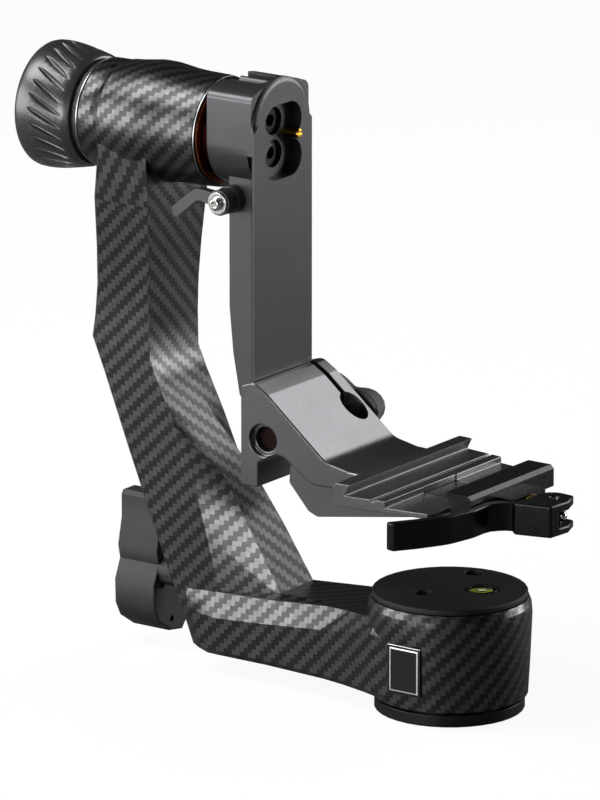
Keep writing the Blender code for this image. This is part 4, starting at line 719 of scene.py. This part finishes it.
class GIMBAL_OT_tilt_knob(bpy.types.Operator):
    """Turns the tilt knob and mills its slanted finger grooves"""
    bl_idname = "gimbal.tilt_knob"
    bl_label = "Tilt Knob"

    # Middle of a groove from the outer end, and its height above the axis, as shares
    groove_place_share = 0.585
    groove_radius_share = 0.987
    # Radius of the spindle's bore as a share of the seal ring's, its depth, and the edge that milling leaves
    bore_share, bore_depth, milled_edge = 0.515, 0.0128, 0.00012
    # Thickness of the cutting lens in groove depths: most of it stays above the cone
    lens_depths = 4

    # Distance from the inner face as shares of the length, and radius as shares of the largest
    profile_shares = (
        (0.000, 0.820), (0.006, 0.846), (0.020, 0.858), (0.055, 0.870), (0.085, 0.893), (0.20, 0.917),
        (0.30, 0.937), (0.40, 0.955), (0.50, 0.972), (0.60, 0.987), (0.70, 0.996), (0.80, 1.000),
        (0.90, 0.996), (0.945, 0.985), (0.975, 0.965), (0.992, 0.938), (1.000, 0.905), (1.000, 0.40),
        (0.985, 0.38), (0.985, 0.05),
    )

    def execute(self, context):
        settings = context.scene.gimbal_knob
        length = KNOB_HIGH.x - KNOB_LOW.x
        radius = (KNOB_HIGH.z - KNOB_LOW.z) / 2
        bpy.ops.object.select_all(action="DESELECT")
        bpy.ops.mesh.primitive_circle_add(
            vertices=settings.around, radius=radius * self.profile_shares[0][1], fill_type="NOTHING",
            location=(KNOB_HIGH.x, 0, TILT_AXIS_Z), rotation=(0, math.radians(-90), 0),
        )
        knob = settled("tilt_knob_grooved")
        bpy.ops.object.mode_set(mode="EDIT")
        bpy.ops.mesh.select_mode(type="VERT")
        bpy.ops.mesh.select_all(action="SELECT")
        for before, after in zip(self.profile_shares, self.profile_shares[1:]):
            along = -(after[0] - before[0]) * length
            grow = after[1] / before[1]
            bpy.ops.mesh.extrude_region_move(TRANSFORM_OT_translate={"value": (along, 0, 0)})
            bpy.ops.transform.resize(
                value=(1, grow, grow), center_override=(KNOB_HIGH.x - after[0] * length, 0, TILT_AXIS_Z),
            )
        bpy.ops.mesh.edge_face_add()
        bpy.ops.mesh.select_all(action="DESELECT")
        bpy.ops.object.mode_set(mode="OBJECT")
        for vertex in knob.data.vertices:
            vertex.select = vertex.co.x > KNOB_HIGH.x - JOIN_DISTANCE
        bpy.ops.object.mode_set(mode="EDIT")
        # The bore for the spindle is extruded in from the inner face
        seal_low, seal_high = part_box("seal_ring")
        bore = (seal_high.z - seal_low.z) / 2 * self.bore_share
        shrink = bore / (radius * self.profile_shares[0][1])
        bpy.ops.mesh.extrude_region_move(TRANSFORM_OT_translate={"value": (0, 0, 0)})
        bpy.ops.transform.resize(value=(1, shrink, shrink), center_override=(KNOB_HIGH.x, 0, TILT_AXIS_Z))
        bpy.ops.mesh.extrude_region_move(TRANSFORM_OT_translate={"value": (-self.bore_depth, 0, 0)})
        bpy.ops.mesh.edge_face_add()
        bpy.ops.mesh.select_all(action="SELECT")
        bpy.ops.mesh.normals_make_consistent(inside=False)
        bpy.ops.object.mode_set(mode="OBJECT")

        cutter = self.groove_cutter(settings, radius, length)
        apply_modifier(knob, "BOOLEAN", operation="DIFFERENCE", solver="EXACT", object=cutter)
        bpy.data.objects.remove(cutter)
        apply_modifier(
            knob, "BEVEL", width=self.milled_edge, segments=2, limit_method="ANGLE",
            angle_limit=math.radians(28), use_clamp_overlap=True,
        )
        select_only(knob)
        bpy.ops.object.shade_smooth_by_angle(angle=math.radians(40))
        # Black anodising over a turned cone, with the grooves milled before it was dyed
        black = turned_metal(
            "black_anodised_knob", "#474748", 0.30, (0, 0, TILT_AXIS_Z), "X", depth=0.000012, metallic=0.7,
        )
        hand_over(knob, "tilt_knob", black)
        return {"FINISHED"}

    def groove_cutter(self, settings, radius, length):
        """One slender lens, a ball scaled to a groove's size, laid on the cone and copied round the axis."""
        middle_x = KNOB_LOW.x + length * self.groove_place_share
        place = (middle_x, 0, TILT_AXIS_Z + radius * self.groove_radius_share)
        bpy.ops.object.select_all(action="DESELECT")
        bpy.ops.mesh.primitive_uv_sphere_add(
            segments=20, ring_count=14, radius=0.5, location=place,
            rotation=(0, settings.groove_tilt, -settings.slant),
            scale=(settings.groove_length, settings.groove_width, settings.groove_depth * self.lens_depths),
        )
        lens = settled("groove_cutter")
        copies = [lens]
        for number in range(1, settings.grooves):
            copy = lens.copy()
            copy.data = lens.data.copy()
            bpy.context.scene.collection.objects.link(copy)
            turn = Matrix.Rotation(math.tau * number / settings.grooves, 4, "X")
            centre = Matrix.Translation((0, 0, TILT_AXIS_Z))
            copy.data.transform(centre @ turn @ centre.inverted())
            copies.append(copy)
        select_only(*copies)
        bpy.ops.object.join()
        return lens


class GIMBAL_OT_swing_arm(bpy.types.Operator):
    """Finishes the forged swing arm with its screws and stop pin"""
    bl_idname = "gimbal.swing_arm"
    bl_label = "Swing Arm"

    # How much less the stop pin stands out of the pocket than in the CAD
    pin_inset = 0.0013

    def execute(self, context):
        metal = context.scene.gimbal_metal
        # Forged and bead-blasted aluminium, hard anodised: dark grey satin with a soft orange-peel
        forging = grained("forged_aluminium_anodised", metal.forging, 0.75, 0.36, 0.0005, 0.00001)
        softened("swing_arm", metal.forged_edge, forging)
        # Black oxide on hardened steel: nearly black with a slight sheen
        oxide = grained("black_oxide_steel", "#232325", 0.9, 0.36, 0.0003, 0.00001)
        for node in ("hub_screw_upper", "hub_screw_lower"):
            softened(node, metal.fine_edge, oxide)
        # Turned brass: bright yellow, with rings round the head
        brass = turned_metal("turned_brass_pin", "#d8a83a", 0.22, middle_of("stop_pin"), "X")
        pin = softened("stop_pin", metal.fine_edge, brass)
        pin.data.transform(Matrix.Translation((-self.pin_inset, 0, 0)))
        # Nickel plating: a bright, slightly warm skin that fills the finest scratches
        nickel = grained("nickel_plated_steel", "#9a9a98", 1.0, 0.22, 0.0004, 0.000006)
        softened("pinch_nut", metal.fine_edge, nickel)
        return {"FINISHED"}


class GIMBAL_OT_hub_lever(bpy.types.Operator):
    """Finishes the small hub lever, its washer and its screw"""
    bl_idname = "gimbal.hub_lever"
    bl_label = "Hub Lever"

    def execute(self, context):
        metal = context.scene.gimbal_metal
        # Cast and black anodised: satin, with the mould's fine grain
        black = grained("black_anodised_lever", "#444445", 0.7, 0.40, 0.0003, 0.00002)
        softened("hub_lever", metal.machined_edge, black)
        # Turned and nickel plated: bright, with rings round the screw's axis
        nickel = turned_metal("nickel_plated_screw", "#c6c6c4", 0.20, middle_of("lever_screw"), "Y")
        softened("lever_washer", metal.fine_edge, nickel)
        softened("lever_screw", metal.fine_edge, nickel)
        return {"FINISHED"}


class GIMBAL_OT_pan_knob(bpy.types.Operator):
    """Finishes the lobed pan knob and its rod"""
    bl_idname = "gimbal.pan_knob"
    bl_label = "Pan Knob"

    def execute(self, context):
        metal = context.scene.gimbal_metal
        # Glass-filled nylon, moulded and spark-eroded: black, greyed by its fine even texture
        nylon = grained("moulded_glass_filled_nylon", "#0d0d0e", 0.0, 0.62, 0.0006, 0.00003)
        softened("pan_knob", metal.forged_edge, nylon)
        # Drawn rod: its grain runs along it
        steel = grained("drawn_steel_rod", "#9d9d9f", 1.0, 0.3, 0.0002, 0.000008, stretch=(0.05, 1, 1))
        softened("pan_rod", metal.fine_edge, steel)
        return {"FINISHED"}


class GIMBAL_OT_platform(bpy.types.Operator):
    """Finishes the platform bracket with its clamp plate, stud and pin"""
    bl_idname = "gimbal.platform"
    bl_label = "Platform"

    # The bracket's narrow steps leave room for only this share of a forging's rounding
    edge_share = 0.25

    def execute(self, context):
        metal = context.scene.gimbal_metal
        # Forged and polished a little more than the swing arm: smooth satin that catches the light
        forging = grained("satin_forged_aluminium", "#5f5f61", 0.85, 0.29, 0.0005, 0.000006, spread=0.03)
        edge = metal.forged_edge * self.edge_share
        softened("platform_bracket", edge, forging, clamp=False)
        # Polished stainless steel: mirror-bright, with the faintest haze
        chrome = grained(
            "polished_stainless", "#d4d4d6", 1.0, 0.10, 0.0005, 0.000002, spread=0.03, shade=0.03,
        )
        softened("clamp_stud", metal.fine_edge, chrome)
        softened("lever_pin", metal.fine_edge, chrome)
        # Red dyed anodising, painted nearly black as painted shade for its place deep in the bore
        red = grained("red_anodised_screw", "#1a0706", 0.85, 0.36, 0.0003, 0.00001)
        softened("bracket_screw", metal.fine_edge, red)
        # Moulded nylon from a smoother tool than the pan knob's: semi-gloss, and grey, lightened in part as
        # painted light for the light that falls on it from behind
        nylon = grained("moulded_nylon_knob", "#4e4e50", 0.0, 0.42, 0.0006, 0.00003)
        softened("platform_knob", metal.forged_edge, nylon)
        return {"FINISHED"}


class GIMBAL_OT_clamp(bpy.types.Operator):
    """Finishes the movable jaw, thrust bush and cam lever"""
    bl_idname = "gimbal.clamp"
    bl_label = "Quick Release Clamp"

    # The lever's slot and thin end leave room for only this share of a forging's rounding
    edge_share = 0.6

    def execute(self, context):
        metal = context.scene.gimbal_metal
        # Milled and black anodised aluminium, with sharp clean edges and the cutter's marks along the jaw
        milled = grained("black_anodised_milled", "#141415", 0.6, 0.30, 0.0003, 0.00001, stretch=(1, 0.12, 1))
        softened("movable_jaw", metal.machined_edge, milled)
        # Turned brass: warm yellow, with rings round the stud
        brass = turned_metal("turned_brass_thrust", "#b98f45", 0.28, middle_of("thrust_bush"), "X")
        softened("thrust_bush", metal.fine_edge, brass)
        # Cast, tumbled smooth and black anodised: glossy black with a faint ripple
        lever = grained("black_anodised_cast_lever", "#0c0c0d", 0.6, 0.24, 0.0004, 0.000004)
        edge = metal.forged_edge * self.edge_share
        softened("clamp_lever", edge, lever, clamp=False)
        return {"FINISHED"}


class GIMBAL_OT_stage(bpy.types.Operator):
    """Adds the floor, the lamps and the camera"""
    bl_idname = "gimbal.stage"
    bl_label = "Stage"

    # Name, place and width in metres, and the setting that holds the power
    lamps = (
        ("key_lamp", (-0.69, -0.37, 1.10), 0.7, "key_power"),
        ("back_lamp", (0.35, 1.15, 0.95), 0.9, "back_power"),
        ("side_lamp", (-1.25, -1.05, 0.30), 1.3, "side_power"),
        ("facet_lamp", (-0.15, -1.60, 0.16), 0.7, "facet_power"),
        ("rim_lamp", (1.00, 1.45, 0.12), 0.9, "rim_power"),
        ("front_lamp", (2.35, -3.75, 1.15), 1.6, "front_power"),
    )
    # Width of the floor, and its gap below the foot
    floor_width, floor_drop = 12, 0.0002
    # Share of its own white that the floor shows the camera, and the strength of the room's fill
    paper_share, room_fill = 0.92, 0.04
    # Width of the camera's sensor in millimetres, and how far it sees in metres
    sensor_width, sight = 36, 50

    def execute(self, context):
        settings = context.scene.gimbal_stage
        bpy.ops.object.select_all(action="DESELECT")
        bpy.ops.mesh.primitive_plane_add(size=self.floor_width, location=(0, 0, -self.floor_drop))
        floor = bpy.context.object
        floor.name = "studio_floor"
        floor.data.materials.append(self.pale_floor())
        middle = Vector(settings.target)
        for name, place, width, power in self.lamps:
            self.add_lamp(name, place, width, getattr(settings, power), middle)
        self.light_world(context)
        self.add_camera(settings, middle)
        return {"FINISHED"}

    def pale_floor(self):
        """Matte white paper: part of what the camera sees is its own white, and the shadow stays."""
        material = bpy.data.materials.new("matte_white_paper")
        material.use_nodes = True
        tree = material.node_tree
        shader = tree.nodes["Principled BSDF"]
        path = add_node(tree, "ShaderNodeLightPath")
        paper = blend(tree, path.outputs["Is Camera Ray"], linear("#6a6a6a"), linear("#f4f4f4"))
        set_inputs(tree, shader, {"Base Color": paper, "Roughness": 0.9})
        white = add_node(tree, "ShaderNodeEmission", None, {"Color": (1, 1, 1, 1), "Strength": 1.0})
        seen = calculate(tree, "MAXIMUM", path.outputs["Is Camera Ray"], path.outputs["Is Transmission Ray"])
        mix = add_node(tree, "ShaderNodeMixShader", None, {
            "Fac": calculate(tree, "MULTIPLY", seen, self.paper_share),
            1: shader.outputs["BSDF"], 2: white.outputs["Emission"],
        })
        set_inputs(tree, tree.nodes["Material Output"], {"Surface": mix.outputs["Shader"]})
        return material

    def add_lamp(self, name, place, width, power, middle):
        """A round lamp that faces the middle of the frame."""
        bpy.ops.object.light_add(type="AREA", location=place)
        lamp = bpy.context.object
        lamp.name = name
        lamp.data.shape = "DISK"
        lamp.data.size = width
        lamp.data.energy = power
        lamp.rotation_euler = (Vector(place) - middle).to_track_quat("Z", "Y").to_euler()

    def light_world(self, context):
        """A dim even room, which the camera alone sees as white."""
        world = bpy.data.worlds.new("white_studio")
        context.scene.world = world
        world.use_nodes = True
        tree = world.node_tree
        path = add_node(tree, "ShaderNodeLightPath")
        set_inputs(tree, tree.nodes["Background"], {
            "Color": (1, 1, 1, 1),
            "Strength": remap(tree, path.outputs["Is Camera Ray"], 0.0, 1.0, self.room_fill, 1.0),
        })

    def add_camera(self, settings, middle):
        """The photo's camera, turned about the head and far off."""
        turn, rise = settings.azimuth, settings.elevation
        back = Vector((math.sin(turn) * math.cos(rise), -math.cos(turn) * math.cos(rise), math.sin(rise)))
        distance = settings.lens / self.sensor_width * settings.frame_height
        bpy.ops.object.camera_add(location=middle + back * distance)
        camera = bpy.context.object
        camera.name = "photo_camera"
        camera.rotation_euler = back.to_track_quat("Z", "Y").to_euler()
        camera.data.lens = settings.lens
        camera.data.clip_end = self.sight
        bpy.context.scene.camera = camera


class GIMBAL_PT_panel(bpy.types.Panel):
    """Sizes, colours and build steps of the gimbal head"""
    bl_idname = "GIMBAL_PT_panel"
    bl_label = "Gimbal Head"
    bl_space_type = "VIEW_3D"
    bl_region_type = "UI"
    bl_category = "Gimbal Head"

    def draw(self, context):
        scene = context.scene
        for name in SETTINGS:
            group = getattr(scene, name)
            box = self.layout.box()
            for field in group.bl_rna.properties:
                if field.identifier not in ("rna_type", "name"):
                    box.prop(group, field.identifier)
        for step in STEPS:
            self.layout.operator(step.bl_idname)


SETTINGS = {
    "gimbal_carbon": CarbonSettings,
    "gimbal_knob": KnobSettings,
    "gimbal_fittings": FittingSettings,
    "gimbal_metal": MetalSettings,
    "gimbal_stage": StageSettings,
}
STEPS = (
    GIMBAL_OT_carbon_arm, GIMBAL_OT_foot, GIMBAL_OT_housing_fittings, GIMBAL_OT_tilt_parts,
    GIMBAL_OT_tilt_knob, GIMBAL_OT_swing_arm, GIMBAL_OT_hub_lever, GIMBAL_OT_pan_knob,
    GIMBAL_OT_platform, GIMBAL_OT_clamp, GIMBAL_OT_stage,
)


def register():
    """Registers the classes and hangs the settings on the scene."""
    for kind in (*SETTINGS.values(), *STEPS, GIMBAL_PT_panel):
        bpy.utils.register_class(kind)
    for name, kind in SETTINGS.items():
        setattr(bpy.types.Scene, name, bpy.props.PointerProperty(type=kind))


def unregister():
    """Takes the settings and the classes away again."""
    for name in SETTINGS:
        delattr(bpy.types.Scene, name)
    for kind in reversed((*SETTINGS.values(), *STEPS, GIMBAL_PT_panel)):
        bpy.utils.unregister_class(kind)


def main():
    """Builds every piece in order."""
    register()
    bpy.context.scene.view_settings.view_transform = "Standard"
    for step in STEPS:
        area, name = step.bl_idname.split(".")
        getattr(getattr(bpy.ops, area), name)()


if __name__ == "__main__":
    main()
